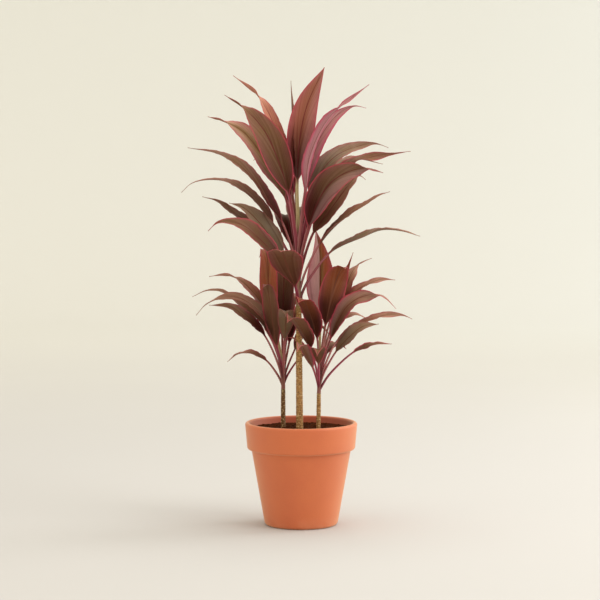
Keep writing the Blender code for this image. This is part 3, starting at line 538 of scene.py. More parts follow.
def cordyline_leaf(settings):
    """Living ti leaf: a waxy cuticle over coloured tissue, so it is satin and lets some light through.

    The eye sees dark maroon by the stalk and brown, rust, olive or salmon further on, fine streaks along
    the veins, a crimson edge and a thin rib. Towards its tip it pales, partly as painted light, and the lit
    half of a folded blade has a painted highlight in pale pink. The veins are drawn about twice as far apart
    as real ones.
    """
    made, node = new_material("waxy_ti_leaf")
    place = node("TexCoord", {}, "Object")
    read = []
    for name in LEAF_VALUES:
        held = node("Attribute", {}, "Vector", attribute_name=name)
        read += node("SeparateXYZ", {0: held}, None)
    (across, along, under, vein, inset, edged, young, dark, grey,
     flush, stripe, pale, rust, pink_and_highlight, tip_pale_and_lit) = read
    off_rib = node("Math", {0: across}, operation="ABSOLUTE")
    # clouds about 3 cm across
    cloud = node("TexNoise", {"Vector": place, "Scale": 34.0, "Detail": 4.0})
    # streaks along the veins, some wide and some fine
    streak = node("TexNoise", {"W": vein, "Scale": 0.6, "Detail": 3.0, "Roughness": 0.7},
                  noise_dimensions="1D")
    turns = node("Math", {0: vein, 1: math.tau}, **TIMES)
    wave = node("Math", {0: turns}, operation="SINE")
    # across, signed by the leaf's value, picks the lit half of a folded blade, which gets a painted highlight
    folded = node("Math", {0: across, 1: pink_and_highlight}, **TIMES)

    # where each colour lies: a value, the two amounts it runs between, and how much colour is at each
    mask = {name: node("MapRange", dict(enumerate(step)), **SMOOTH) for name, step in {
        "near": (along, 0.0, 0.62, 0.56, 0.0),
        # towards the tip: pale, partly painted light
        "far": (along, 0.3, 0.85),
        "fresh": (along, 0.0, 0.6, 0.4, 1.0),
        "end": (along, 0.8, 1.0, 0.0, 0.8),
        "faded": (along, 0.3, 1.0, 1.0, 0.5),
        "foot": (along, -1.0, -0.5, 0.45, 0.0),
        "stalk": (along, -0.06, 0.05, 1.0, 0.0),
        "mossy": (cloud, 0.42, 0.66, 0.0, 0.35),
        "beside": (off_rib, 0.08, 0.45, 0.9, 0.0),
        "blush": (off_rib, 0.4, 0.95, 0.0, 0.7),
        "rib": (off_rib, 0.02, 0.07, 0.7, 0.0),
        "keel": (off_rib, 0.03, 0.1, 0.6, 0.0),
        "sides": (off_rib, 0.5, 0.92, 0.0, 0.6),
        # the lit half of a folded blade, for its painted highlight
        "half": (folded, 0.01, 0.12, 0.0, 0.9),
        "rosy": (flush, 0.5, 0.95),
        "light": (streak, 0.5, 0.68, 0.0, 0.12),
        "deep": (streak, 0.5, 0.32, 0.0, 0.38),
        "line": (wave, 0.2, 1.0, 0.0, 0.12),
        "edge": (inset, 0.8, 3.2, 0.95, 0.0),
    }.items()}

    # how much of it this leaf has; a flushed leaf is rosier below, and a leaf with the painted highlight on
    # one half pales to the same pink at its tip too
    grown = node("Math", {0: 1.0, 1: young}, operation="SUBTRACT", use_clamp=True)
    turned = node("MapRange", {0: under, 3: 0.6, 4: 0.9})
    amount = node("Math", {0: pink_and_highlight}, operation="ABSOLUTE")
    mask["half"] = node("Math", {0: mask["half"], 1: mask["end"]}, operation="MAXIMUM")
    for name, share in (("fresh", young), ("far", tip_pale_and_lit), ("mossy", grown), ("beside", stripe),
                        ("half", amount), ("rosy", turned), ("blush", flush), ("edge", edged),
                        ("edge", mask["faded"])):
        mask[name] = node("Math", {0: mask[name], 1: share}, **TIMES)
    shade = node("Math", {0: dark, 1: 0.5}, operation="ADD")
    shade = node("Math", {0: shade, 1: mask["near"]}, **TIMES)
    mask["shade"] = node("Math", {0: dark, 1: 0.42, 2: shade}, operation="MULTIPLY_ADD")
    mask.update(grey=grey, rust=rust, pale=pale)

    # tissue, olive or rust when grown, salmon when young, pale towards the tip (partly painted light) and
    # mossy in places; maroon that fades out from the stalk; a painted highlight in pale pink on the lit half
    # of a folded blade, and the pink of flushed blades; streaks; edge and rib
    tone = settings.mature
    for name, hue in (("grey", "olive"), ("rust", "rust"), ("fresh", "young"), ("far", "tip"),
                      ("mossy", "rib_olive"), ("beside", "rib_olive"), ("shade", "maroon"), ("half", "pink_and_highlight"),
                      ("rosy", "mauve"), ("light", "tip"), ("deep", "maroon"), ("line", "maroon"),
                      ("blush", "flush"), ("edge", "margin"), ("rib", "rib")):
        tone = node("Mix", {0: mask[name], 6: tone, 7: getattr(settings, hue)}, 2, **COLOURS)

    # underside: duller, its rib paler
    below = tone
    for share in (0.15, mask["keel"]):
        below = node("Mix", {0: share, 6: below, 7: settings.under}, 2, **COLOURS)
    tone = node("Mix", {0: under, 6: tone, 7: below}, 2, **COLOURS)

    # stalk: crimson with pale sides, thin margins with a painted highlight, darker at its foot, or pale olive
    # on the youngest leaves
    stem = settings.stalk
    for name, hue in (("sides", "wing_and_highlight"), ("foot", "maroon"), ("pale", "pale")):
        stem = node("Mix", {0: mask[name], 6: stem, 7: getattr(settings, hue)}, 2, **COLOURS)
    tone = node("Mix", {0: mask["stalk"], 6: tone, 7: stem}, 2, **COLOURS)

    gloss = node("MapRange", {0: cloud, 1: 0.3, 2: 0.7, 3: 0.36, 4: 0.48})
    gloss = node("Math", {0: under, 1: 0.15, 2: gloss}, operation="MULTIPLY_ADD")
    relief = node("Math", {0: cloud, 1: 2.0, 2: wave}, operation="MULTIPLY_ADD")
    bump = node("Bump", {"Strength": 0.35, "Distance": 0.00025, "Height": relief})
    skin = node("BsdfPrincipled", {"Base Color": tone, "Roughness": gloss, "IOR": 1.45,
                                   "Specular IOR Level": 0.15, "Normal": bump})

    # light that comes through the blade is warmer than light off it
    warm = node("Mix", {0: 0.2, 6: tone, 7: settings.young}, 2, **COLOURS)
    glow = node("BsdfTranslucent", {"Color": warm, "Normal": bump})
    leaf = node("MixShader", {0: 0.3, 1: skin, 2: glow})
    node("OutputMaterial", {"Surface": leaf}, None)
    return made


def rolled_backdrop(settings):
    """Painted studio backdrop, rolled matt: an even cream, faintly mottled, and greyer under the lamps."""
    made, node = new_material("rolled_backdrop")
    place = node("TexCoord", {}, "Object")
    level = node("Mapping", {"Vector": place, "Scale": (1.0, 1.0, 0.0)})
    reach = node("VectorMath", {0: level}, "Value", operation="LENGTH")
    mottle = node("TexNoise", {"Vector": place, "Scale": 1.4, "Detail": 2.0})
    away = node("Math", {0: mottle, 1: 0.25, 2: reach}, operation="MULTIPLY_ADD")
    away = node("MapRange", {0: away, 1: 0.7, 2: 5.1}, **SMOOTH)
    tone = node("Mix", {0: away, 6: settings.floor, 7: settings.paper}, 2, **COLOURS)
    paint = node("BsdfPrincipled", {"Base Color": tone, "Roughness": 0.9, "Specular IOR Level": 0.1})
    node("OutputMaterial", {"Surface": paint}, None)
    return made


def link(name, mesh, material, smooth_degrees=None):
    """Puts a mesh into the scene as an object with its material."""
    if not mesh.polygons:
        raise RuntimeError(f"{name} came out without a face")
    if smooth_degrees is not None:
        mesh.shade_smooth()
        mesh.set_sharp_from_angle(angle=math.radians(smooth_degrees))
    mesh.materials.append(material)
    made = bpy.data.objects.new(name, mesh)
    bpy.context.scene.collection.objects.link(made)
    return made


def from_bmesh(name, bm, material, smooth_degrees=None):
    """An object made from a bmesh in millimetres."""
    bmesh.ops.scale(bm, vec=(MM, MM, MM), verts=bm.verts)
    mesh = bpy.data.meshes.new(name)
    bm.to_mesh(mesh)
    bm.free()
    return link(name, mesh, material, smooth_degrees)


def revolved(profile, sides):
    """A bmesh turned round the z axis, closed where an end of its profile lies on the axis."""
    bm = bmesh.new()
    rings = []
    for radius, height in profile:
        angles = [math.tau * k / sides for k in range(sides if radius > 0 else 1)]
        rings.append([bm.verts.new((radius * math.cos(a), radius * math.sin(a), height)) for a in angles])
    for low, high in zip(rings, rings[1:]):
        for k in range(sides):
            after = (k + 1) % sides
            corners = (low[k % len(low)], low[after % len(low)], high[after % len(high)], high[k % len(high)])
            bm.faces.new(tuple(dict.fromkeys(corners)))
    bmesh.ops.recalc_face_normals(bm, faces=bm.faces)
    return bm


def tube_faces(rings, sides):
    """The side faces of a tube with so many rings of points, one after the other."""
    return [(low + k, low + (k + 1) % sides, low + sides + (k + 1) % sides, low + sides + k)
            for low in range(0, (rings - 1) * sides, sides) for k in range(sides)]


def tube_corners(rings, sides, spot):
    """The corners of those faces on the map, where spot gives the place of each ring and side."""
    return [spot(ring + up, k + on) for ring in range(rings - 1) for k in range(sides)
            for up, on in ((0, 0), (0, 1), (1, 1), (1, 0))]


def arc(centre, radius, start, end, steps):
    """Points of an arc, its angles in degrees."""
    points = []
    for k in range(steps + 1):
        angle = math.radians(start + (end - start) * k / steps)
        points.append((centre[0] + radius * math.cos(angle), centre[1] + radius * math.sin(angle)))
    return points


def inner_radius(height):
    """The inside of the pot's body at a height."""
    share = (height - FOOT_ROUNDING) / (BAND_BOTTOM - FOOT_ROUNDING)
    return BODY_RADIUS_LOW + (BODY_RADIUS_HIGH - BODY_RADIUS_LOW) * share - WALL_THICKNESS


def rim_inner_radius(height):
    """The inside of the pot above its inner step at a height."""
    low = inner_radius(INNER_STEP_HEIGHT) + INNER_STEP
    high = BAND_RADIUS_HIGH - LIP_THICKNESS
    share = (height - INNER_STEP_HEIGHT) / (RIM_TOP - LIP_THICKNESS / 2 - INNER_STEP_HEIGHT)
    return low + (high - low) * share


def inside_profile():
    """The pot's inner side from its step down to the middle of its floor."""
    bevel_top = FLOOR_THICKNESS + FLOOR_BEVEL
    return [
        (rim_inner_radius(INNER_STEP_HEIGHT), INNER_STEP_HEIGHT),
        (inner_radius(bevel_top), bevel_top),
        (inner_radius(FLOOR_THICKNESS) - FLOOR_BEVEL, FLOOR_THICKNESS),
        (0.0, FLOOR_THICKNESS),
    ]


def pot_profile():
    """The pot's outline, in stretches no longer than LONGEST_FACE."""
    lip = LIP_THICKNESS / 2
    points = [(0.0, 0.0)]
    points += arc((FOOT_RADIUS, FOOT_ROUNDING), FOOT_ROUNDING, -90, -10, 8)
    points += [(BODY_RADIUS_HIGH, BAND_BOTTOM - BAND_STEP)]
    points += [(BODY_RADIUS_HIGH + BAND_STEP * 0.35, BAND_BOTTOM - BAND_STEP * 0.3)]
    points += [(BODY_RADIUS_HIGH + BAND_STEP, BAND_BOTTOM)]
    points += arc((BAND_RADIUS_LOW - BAND_ROUNDING, BAND_BOTTOM + BAND_ROUNDING), BAND_ROUNDING, -70, 0, 8)
    points += arc((BAND_RADIUS_HIGH - lip, RIM_TOP - lip), lip, 0, 180, 16)
    points += inside_profile()
    made = [points[0]]
    for (r0, z0), (r1, z1) in zip(points, points[1:]):
        count = max(1, math.ceil(math.hypot(r1 - r0, z1 - z0) / LONGEST_FACE))
        made += [(r0 + (r1 - r0) * k / count, z0 + (z1 - z0) * k / count) for k in range(1, count + 1)]
    return made


def cut_drains(pot):
    """Cuts the drain holes through the pot's floor."""
    bm = bmesh.new()
    for k in range(DRAIN_COUNT):
        angle = math.tau * k / DRAIN_COUNT + math.pi / 2
        place = (DRAIN_CIRCLE * math.cos(angle), DRAIN_CIRCLE * math.sin(angle), FLOOR_THICKNESS / 2)
        bmesh.ops.create_cone(bm, cap_ends=True, segments=DRAIN_SIDES, radius1=DRAIN_RADIUS,
                              radius2=DRAIN_RADIUS, depth=FLOOR_THICKNESS + 4,
                              matrix=Matrix.Translation(place))
    drains = from_bmesh("drains", bm, pot.data.materials[0])
    cut = pot.modifiers.new("cut", "BOOLEAN")
    cut.object = drains
    mesh = bpy.data.meshes.new_from_object(pot.evaluated_get(bpy.context.evaluated_depsgraph_get()))
    if len(mesh.polygons) <= len(pot.data.polygons):
        raise RuntimeError("the pot came out without its drain holes")
    pot.modifiers.clear()
    pot.data = mesh
    bpy.data.objects.remove(drains, do_unlink=True)


def axis_point(cane, height):
    """The point of a cane's axis at a height, in line beyond its ends too."""
    foot, head = Vector(cane.foot), Vector(cane.head)
    return foot + (head - foot) * ((height - foot.z) / (head.z - foot.z))


def curve_through(points):
    """A smooth curve through points: its point at a length, its whole length, the length at each point."""
    times = [0.0]
    for a, b in zip(points, points[1:]):
        times.append(times[-1] + math.sqrt((b - a).length))
    gaps = [after - before for before, after in zip(times, times[1:])]
    speeds = [(b - a) / gap for a, b, gap in zip(points, points[1:], gaps)]
    slopes = [speeds[0]]
    for k in range(1, len(gaps)):
        slopes.append((speeds[k - 1] * gaps[k] + speeds[k] * gaps[k - 1]) / (gaps[k] + gaps[k - 1]))
    slopes.append(speeds[-1])
    fine = []
    for k, gap in enumerate(gaps):
        for step in range(CURVE_STEPS):
            t = step / CURVE_STEPS
            fine.append(points[k] * (2 * t**3 - 3 * t**2 + 1) + slopes[k] * (gap * (t**3 - 2 * t**2 + t))
                        + points[k + 1] * (-2 * t**3 + 3 * t**2) + slopes[k + 1] * (gap * (t**3 - t**2)))
    fine.append(points[-1])
    lengths = [0.0]
    for a, b in zip(fine, fine[1:]):
        lengths.append(lengths[-1] + (b - a).length)

    def at(length):
        length = min(max(length, 0.0), lengths[-1])
        k = 0
        while k < len(lengths) - 2 and lengths[k + 1] < length:
            k += 1
        return fine[k].lerp(fine[k + 1], (length - lengths[k]) / (lengths[k + 1] - lengths[k]))

    return at, lengths[-1], lengths[:-1:CURVE_STEPS]


def blade_share(s, fall):
    """The blade's width at a share of its length, 1 at its widest: full low down, drawn out to the tip."""
    widest = RISE / (RISE + fall)
    return (s / widest) ** RISE * ((1 - s) / (1 - widest)) ** fall


def leaf_stations(cane, leaf):
    """Place, side, normal, half width, channel, thickness, share and length at each station of a leaf."""
    base = axis_point(cane, leaf.base)
    reach = Vector(leaf.points[0]) - base
    knee = base + Vector((reach.x * KNEE_OUT, reach.y * KNEE_OUT, reach.z * KNEE_UP))
    at, whole, reached = curve_through([base, knee] + [Vector(p) for p in leaf.points])
    start = reached[2]
    marks = [(start * k / PETIOLE_STEPS, None) for k in range(PETIOLE_STEPS)]
    marks += [(start + (whole - start) * k / BLADE_STEPS, k / BLADE_STEPS) for k in range(BLADE_STEPS + 1)]
    tangents = [(at(mark + TANGENT_REACH) - at(mark - TANGENT_REACH)).normalized() for mark, _ in marks]
    widest = PETIOLE_STEPS + FACE_SET_AT
    sides = [None] * len(marks)
    sides[widest] = tangents[widest].cross(Vector(leaf.face)).normalized()
    for order, back in ((range(widest + 1, len(marks)), -1), (range(widest - 1, -1, -1), 1)):
        for k in order:
            near = sides[k + back]
            sides[k] = (near - tangents[k] * near.dot(tangents[k])).normalized()
    stations = []
    for (mark, s), side, tangent in zip(marks, sides, tangents):
        if s is None:
            grown = mark / start
            half = cane.petiole_width * (PETIOLE_FLARE - (PETIOLE_FLARE - PETIOLE_TAPER) * grown) / 2
            channel = PETIOLE_CHANNEL_DEGREES
            thick = PETIOLE_THICKNESS - PETIOLE_THINNING * grown
            s = grown - 1
        else:
            where, curl = leaf.curl
            turned = min(1.0, max(0.0, (s - where) / CURL_LENGTH + 0.5))
            turn = leaf.twist * (s - WIDEST) + curl * turned**2 * (3 - 2 * turned)
            side = Matrix.Rotation(math.radians(turn), 3, tangent) @ side
            least = cane.petiole_width * PETIOLE_TAPER * (1 - s) ** 2 + TIP_WIDTH * s
            half = max(leaf.width * blade_share(s, leaf.fall), least) / 2
            opened = min(1, s / BLADE_OPENS)
            channel = PETIOLE_CHANNEL_DEGREES + (leaf.fold - PETIOLE_CHANNEL_DEGREES) * opened
            thick = (PETIOLE_THICKNESS - PETIOLE_THINNING) * (1 - s) + TIP_THICKNESS * s
        normal = side.cross(tangent).normalized()
        stations.append((at(mark), side, normal, half, math.radians(channel), thick, s, mark))
    return stations


def leaf_section(station, settings, phase, shift):
    """The points round a leaf at one station, each with its share across and 1 on the lower face."""
    centre, side, normal, half, channel, thick, s, mark = station
    edge = settings.edge / MM
    opened = min(1.0, max(0.0, s) / BLADE_OPENS)
    ridge = 1.2 + 4.5 * opened  # how narrow the midrib's ridge is below
    swell = 0.0
    if s > 0:
        swell = WAVE_HEIGHT * min(1.0, 2 * half / WAVE_FULL_WIDTH) * math.sin(math.pi * s)
    frill = settings.ruffle / MM * min(1.0, half / RUFFLE_FULL_WIDTH) * opened
    upper, lower = [], []
    for u in ACROSS:
        off = abs(u)
        far = 0.0 if u < 0 else WAVE_SIDE_SHIFT
        lift = half * math.sin(channel) * off**1.25
        wave = swell * math.sin(math.tau * WAVES * max(s, 0.0) + phase + far) * off**2
        ruffle = frill * off**3 * (math.sin(mark * RUFFLE_TURNS[0] + shift + far * 2)
                                   + 0.6 * math.sin(mark * RUFFLE_TURNS[1] - shift + far))
        groove = GROOVE_DEPTH * math.exp(-((u * half / GROOVE_WIDTH) ** 2)) * (0.3 + 0.7 * opened)
        point = centre - side * (u * half * math.cos(channel)) + normal * (lift + wave + ruffle)
        body = edge + (thick - edge) * (1 - off) ** ridge
        upper.append((point - normal * groove, u, 0.0))
        lower.append((point - normal * body, u, 1.0))
    return upper + lower[::-1]


def leaf_arrays(cane, leaf, cell, columns, rng, settings):
    """Points, their values, faces and map corners of a closed leaf, its two sides next to each other."""
    stations = leaf_stations(cane, leaf)
    shift = rng.uniform(0, math.tau)
    looks = [value + rng.uniform(-0.05, 0.05) for value in LOOKS[leaf.look]]
    points, values = [], []
    for station in stations:
        half, s, mark = station[3], station[6], station[7]
        for point, u, below in leaf_section(station, settings, cell * WAVE_LEAF_SHIFT, shift):
            vein = (abs(u) * half * math.cos(VEIN_SLANT) - mark * math.sin(VEIN_SLANT)) * MM / settings.vein
            points.append(point)
            values.append((u, s, below, vein, (1 - abs(u)) * half, looks[-1], *looks[:-1]))

    # the map's places run round the section, over both faces and both edges
    spots = [(u + 1) / 2 for u in ACROSS]
    spots += [2 + MAP_EDGE - spot for spot in reversed(spots)] + [2 + 2 * MAP_EDGE]
    row, column = divmod(cell, columns)
    kept = 1 - 2 * MAP_MARGIN

    def spot(station, k):
        along = MAP_MARGIN + kept * stations[station][7] / stations[-1][7]
        return (column + MAP_MARGIN + kept * spots[k] / spots[-1]) / columns, (row + along) / MAP_ROWS

    count, last = 2 * len(ACROSS), len(stations) - 1
    faces = tube_faces(last + 1, count)
    corners = tube_corners(last + 1, count, spot)
    for station, turn in ((0, 1), (last, -1)):
        first = station * count
        for k in range(len(ACROSS) - 1):
            (ax, ay), (bx, by) = spot(station, k), spot(station, k + 1)
            faces.append((first + k + 1, first + k, first + count - 1 - k, first + count - 2 - k)[::turn])
            corners += [(bx, by), (ax, ay), (ax, ay - MAP_END * turn), (bx, by - MAP_END * turn)][::turn]
    return points, values, faces, corners


def bud_arrays(cane, columns):
    """The same for the soft top of the cane inside the crown, which the leaf stalks grow from."""
    points = []
    for ring in range(BUD_RINGS + 1):
        share = ring / BUD_RINGS
        centre = axis_point(cane, cane.head[2] + cane.bud_height * share)
        girth = 1 - 0.15 * min(1, share * 2) - 0.6 * max(0.0, share - 0.5) ** 1.3 * 2.4
        for k in range(BUD_SIDES):
            angle = math.tau * k / BUD_SIDES
            radius = cane.head_radius * girth * (1 + 0.05 * math.sin(3 * angle + 9 * share))
            points.append(centre + Vector((radius * math.cos(angle), radius * math.sin(angle), 0)))
    # coloured as a leaf stalk is, far from any edge, a little dark and olive, and the paler the higher it is
    values = [(0.0, -0.9, 0.0, 0.0, 9.0, 0.0, 0.0, 0.2, 0.4,
               0.0, 0.0, cane.bud_height / PALE_BUD, 0.0, 0.0, 0.0)]

    def spot(ring, k):
        return ((columns - 0.9 + 0.8 * k / BUD_SIDES) / columns, (1.05 + 0.9 * ring / BUD_RINGS) / MAP_ROWS)

    faces = tube_faces(BUD_RINGS + 1, BUD_SIDES)
    corners = tube_corners(BUD_RINGS + 1, BUD_SIDES, spot)
    for ring, y, order in ((0, 0.51, range(BUD_SIDES)[::-1]), (BUD_RINGS, 0.985, range(BUD_SIDES))):
        faces.append(tuple(ring * BUD_SIDES + k for k in order))
        for k in order:
            angle = math.tau * k / BUD_SIDES
            corners.append(((columns - 0.5) / columns + 0.01 * math.cos(angle), y + 0.01 * math.sin(angle)))
    return points, values * len(points), faces, corners


def build_crown(name, node, cane, leaves, material, settings, seed):
    """One mesh of a crown's leaves and its bud, with the values that colour each leaf."""
    rng = random.Random(seed)
    columns = math.ceil((len(leaves) + 1) / MAP_ROWS)
    parts = [leaf_arrays(cane, leaf, k, columns, rng, settings) for k, leaf in enumerate(leaves)]
    points, values, faces, corners = [], [], [], []
    for part in parts + [bud_arrays(cane, columns)]:
        faces += [tuple(len(points) + i for i in face) for face in part[2]]
        points += part[0]
        values += part[1]
        corners += part[3]
    mesh = bpy.data.meshes.new(name)
    mesh.from_pydata([p * MM for p in points], [], faces)
    mesh.uv_layers.new(name="OFBake").data.foreach_set("uv", np.array(corners, np.float32).ravel())
    held = np.array(values, np.float32)
    for k, key in enumerate(LEAF_VALUES):
        made = mesh.attributes.new(key, "FLOAT_VECTOR", "POINT")
        made.data.foreach_set("vector", held[:, 3 * k:3 * k + 3].ravel())
    mesh.validate()
    made = link(name, mesh, material, smooth_degrees=55)
    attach(made, "root")
    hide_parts(node)
    return made


def build_cane(name, cane, material, settings, seed):
    """A ringed cane: each leaf scar is a low, slanting ridge that runs most of the way round."""
    rng = random.Random(seed)
    low, high = cane.foot[2] - CANE_DEPTH, cane.head[2] - GAP
    count = round((high - low) / CANE_STEP)
    spacing = settings.spacing / MM
    scars = []
    place = low + rng.uniform(0, spacing)
    while place < high:
        scars.append((place, rng.uniform(0, math.tau), rng.uniform(0.3, 1.0), rng.uniform(0.7, 1.2)))
        place += spacing * rng.uniform(0.8, 1.2)
    points, scar, green = [], [], []
    for ring in range(count + 1):
        height = low + (high - low) * ring / count
        centre = axis_point(cane, height)
        share = max(0.0, (height - cane.foot[2]) / (high - cane.foot[2]))
        radius = cane.foot_radius + (cane.head_radius - cane.foot_radius) * share
        near = [entry for entry in scars if abs(entry[0] - height) < SCAR_REACH]
        for k in range(CANE_SIDES):
            angle = math.tau * k / CANE_SIDES
            x, y = math.cos(angle), math.sin(angle)
            stand, mark = 0.0, 0.0
            for at, turn, lean, strength in near:
                offset = height - at - lean * math.cos(angle - turn)
                stand += strength * math.exp(-((offset / SCAR_WIDTH) ** 2))
                mark += strength * math.exp(-(((offset + SCAR_WIDTH) / SCAR_SHADE_WIDTH) ** 2))
            wobble = noise.noise(Vector((centre.x + BARK_WOBBLE_CIRCLE * x, centre.y + BARK_WOBBLE_CIRCLE * y,
                                         height / 3)) / 6)
            r = radius + stand * settings.scar_height / MM + BARK_WOBBLE * wobble
            points.append(centre + Vector((r * x, r * y, 0)))
            scar.append(min(1.0, mark) * 0.85)
            green.append(max(0.0, share - GREEN_FROM) / (1 - GREEN_FROM) * cane.bud_height / GREEN_BUD)
    faces = tube_faces(count + 1, CANE_SIDES)
    faces += [tuple(range(CANE_SIDES))[::-1], tuple(range(count * CANE_SIDES, len(points)))]
    mesh = bpy.data.meshes.new(name)
    mesh.from_pydata([p * MM for p in points], [], faces)
    for key, values in (("scar", scar), ("green", green), ("weathered", [cane.weathered] * len(points))):
        mesh.attributes.new(key, "FLOAT", "POINT").data.foreach_set("value", np.array(values, np.float32))
    made = link(name, mesh, material, smooth_degrees=60)
    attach(made, "root")
    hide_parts(name.replace("_bark", ""))
    return made


def soil_height(x, y):
    """The uneven top of the soil at a point, in millimetres."""
    reach = math.hypot(x, y) / rim_inner_radius(SOIL_TOP)
    height = SOIL_TOP - SOIL_DIP * reach**4 - SOIL_SINKS
    return height + sum(most * noise.noise(Vector((x, y, seed)) / width) for most, seed, width in LUMPS)


def build_soil(settings, earth, chip_material):
    """Soil that fills the pot, its top uneven, with loose crumbs and bark chips half sunk in it."""
    rng = random.Random(7)
    wall = rim_inner_radius(SOIL_TOP - SOIL_DIP) - GAP
    inside = inside_profile()[::-1]
    profile = [(max(0.0, radius - GAP), height + GAP) for radius, height in inside[:2]]
    profile += [(radius - GAP, height) for radius, height in inside[2:]]
    profile += [(wall * (1 - (k / SOIL_RINGS) ** 1.1), SOIL_TOP) for k in range(SOIL_RINGS + 1)]
    bm = revolved(profile, SOIL_SIDES)
    for vert in bm.verts:
        if vert.co.z > SOIL_TOP - 1:
            vert.co.z = soil_height(vert.co.x, vert.co.y)
    soil = from_bmesh("soil_bed", bm, earth, smooth_degrees=60)
    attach(soil, "root")
    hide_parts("soil")
    for name, count, material, size, squash in (
            ("soil_crumbs", settings.crumbs, earth, settings.crumb / MM, (1.0, 1.0, 0.75)),
            ("bark_chips", settings.chips, chip_material, settings.crumb / MM * 2.4, (1.0, 0.55, 0.3))):
        bm = bmesh.new()
        for _ in range(count):
            angle, reach = rng.uniform(0, math.tau), wall * math.sqrt(rng.uniform(0, 0.97))
            x, y = reach * math.cos(angle), reach * math.sin(angle)
            across = size * rng.uniform(0.3, 1.0) ** 1.5
            room = [math.hypot(x - cane.foot[0], y - cane.foot[1]) - cane.foot_radius - 1
                    for cane in (MAIN_CANE, LEFT_CANE, RIGHT_CANE)]
            if across / 2 > min(*room, wall - reach):
                continue
            made = bmesh.ops.create_icosphere(bm, subdivisions=1, radius=across / 2)
            turn = Matrix.Rotation(rng.uniform(0, math.tau), 3, "Z")
            turn = turn @ Matrix.Rotation(rng.uniform(-0.4, 0.4), 3, "X")
            seat = Vector((x, y, soil_height(x, y) + across * squash[2] * 0.12))
            for vert in made["verts"]:
                co = vert.co * (1 + 0.45 * noise.noise(vert.co / across * 2 + Vector((x, y, 0))))
                vert.co = turn @ (co * Vector(squash)) + seat
        loose = from_bmesh(name, bm, material, smooth_degrees=70)
        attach(loose, "root")


class TIPLANT_OT_pot(Operator):
    """Build the terracotta pot with its band, rounded lip and drain holes"""
    bl_idname = "ti_plant.pot"
    bl_label = "Pot"

    def execute(self, context):
        settings = context.scene.ti_pot
        clay = fired_terracotta(settings)
        pot = from_bmesh("terracotta_pot", revolved(pot_profile(), settings.sides), clay)
        cut_drains(pot)
        pot.data.shade_smooth()
        pot.data.set_sharp_from_angle(angle=math.radians(40))
        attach(pot, "root")
        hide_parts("pot")
        return {"FINISHED"}


class TIPLANT_OT_soil(Operator):
    """Fill the pot with soil, crumbs and bark chips"""
    bl_idname = "ti_plant.soil"
    bl_label = "Soil"

    def execute(self, context):
        settings = context.scene.ti_soil
        build_soil(settings, potting_soil(settings, "potting_soil", settings.dry),
                   potting_soil(settings, "bark_chips", settings.bark))
        return {"FINISHED"}


class TIPLANT_OT_canes(Operator):
    """Build the three ringed canes"""
    bl_idname = "ti_plant.canes"
    bl_label = "Canes"

    def execute(self, context):
        settings = context.scene.ti_cane
        bark = ringed_bark(settings)
        build_cane("cane_main_bark", MAIN_CANE, bark, settings, 1)
        build_cane("cane_left_bark", LEFT_CANE, bark, settings, 2)
        build_cane("cane_right_bark", RIGHT_CANE, bark, settings, 3)
        return {"FINISHED"}


class TIPLANT_OT_leaves(Operator):
    """Build the three crowns of leaves"""
    bl_idname = "ti_plant.leaves"
    bl_label = "Leaves"

    def execute(self, context):
        settings = context.scene.ti_leaf
        foliage = cordyline_leaf(settings)
        build_crown("leaves_main", "crown_main", MAIN_CANE, MAIN_LEAVES, foliage, settings, 11)
        build_crown("leaves_left", "crown_left", LEFT_CANE, LEFT_LEAVES, foliage, settings, 12)
        build_crown("leaves_right", "crown_right", RIGHT_CANE, RIGHT_LEAVES, foliage, settings, 13)
        return {"FINISHED"}


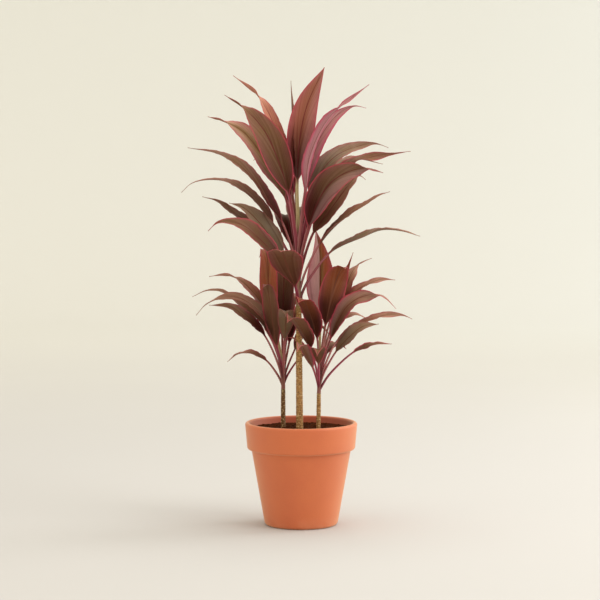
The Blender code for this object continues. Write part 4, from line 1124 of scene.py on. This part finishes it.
class TIPLANT_OT_stage(Operator):
    """Set up the floor, backdrop, soft light and camera"""
    bl_idname = "ti_plant.stage"
    bl_label = "Stage"

    def execute(self, context):
        scene = context.scene
        settings = scene.ti_stage
        far = settings.radius / MM
        bend = far * BACKDROP_BEND
        profile = [(far * share, 0.0) for share in BACKDROP_FLAT]
        profile += arc((far - bend, bend), bend, -90, 0, 16)
        profile += [(far, far * BACKDROP_HEIGHT)]
        paint = rolled_backdrop(settings)
        floor = from_bmesh("studio_floor", revolved(profile, BACKDROP_SIDES), paint, smooth_degrees=40)

        world = bpy.data.worlds.new("studio_light")
        world.use_nodes = True
        light = world.node_tree.nodes["Background"]
        light.inputs["Color"].default_value = linear("FFF5E4")
        light.inputs["Strength"].default_value = settings.fill
        scene.world = world

        for name, tint, size, place, aim in (
                ("key", "FBFAF6", 2.0, (2.7, -1.5, 1.9), (0, 0, 0.35)),
                ("side", "F8F9FA", 1.8, (3.3, 1.2, 1.5), (0, 0, 0.4)),
                ("top", "FFFAF2", 2.2, (0.3, 0.2, 3.0), (0, 0, 0)),
                ("left", "FFF0DC", 1.6, (-3.0, -1.6, 0.9), (0, 0, 0.3)),
                ("wall", "DCEBFF", 2.0, (4.2, 4.6, 2.2), (3.0, 7.0, 1.4))):
            lamp = bpy.data.lights.new("soft_" + name, "AREA")
            lamp.shape = "SQUARE"
            lamp.size = size
            lamp.energy = getattr(settings, name)
            lamp.color = linear(tint)[:3]
            made = bpy.data.objects.new("soft_" + name, lamp)
            made.location = place
            made.rotation_euler = (Vector(aim) - made.location).to_track_quat("-Z", "Y").to_euler()
            scene.collection.objects.link(made)

        view = bpy.data.cameras.new("camera")
        view.sensor_width = 36.0
        view.lens = CAMERA_LENS
        camera = bpy.data.objects.new("camera", view)
        camera.location = CAMERA_PLACE
        camera.rotation_euler = (math.radians(90 + CAMERA_TILT), 0, 0)
        scene.collection.objects.link(camera)
        scene.camera = camera
        scene.view_settings.view_transform = "Standard"
        return {"FINISHED"}


class TIPLANT_PT_panel(Panel):
    """The plant's sizes and colours, and a button for each piece"""
    bl_label = "Ti Plant"
    bl_idname = "TIPLANT_PT_panel"
    bl_space_type = "VIEW_3D"
    bl_region_type = "UI"
    bl_category = "Ti Plant"

    def draw(self, context):
        for name, (_, operator) in PIECES.items():
            box = self.layout.box()
            box.operator(operator.bl_idname)
            group = getattr(context.scene, name)
            for key in group.bl_rna.properties.keys():
                if key not in ("rna_type", "name"):
                    box.prop(group, key)


PIECES = {
    "ti_pot": (PotSettings, TIPLANT_OT_pot),
    "ti_soil": (SoilSettings, TIPLANT_OT_soil),
    "ti_cane": (CaneSettings, TIPLANT_OT_canes),
    "ti_leaf": (LeafSettings, TIPLANT_OT_leaves),
    "ti_stage": (StageSettings, TIPLANT_OT_stage),
}
CLASSES = (*(cls for pair in PIECES.values() for cls in pair), TIPLANT_PT_panel)


def register():
    for cls in CLASSES:
        bpy.utils.register_class(cls)
    for name, (group, _) in PIECES.items():
        setattr(bpy.types.Scene, name, PointerProperty(type=group))


def unregister():
    for name in PIECES:
        delattr(bpy.types.Scene, name)
    for cls in reversed(CLASSES):
        bpy.utils.unregister_class(cls)


def main():
    register()
    bpy.ops.ti_plant.pot()
    bpy.ops.ti_plant.soil()
    bpy.ops.ti_plant.canes()
    bpy.ops.ti_plant.leaves()
    bpy.ops.ti_plant.stage()


if __name__ == "__main__":
    main()
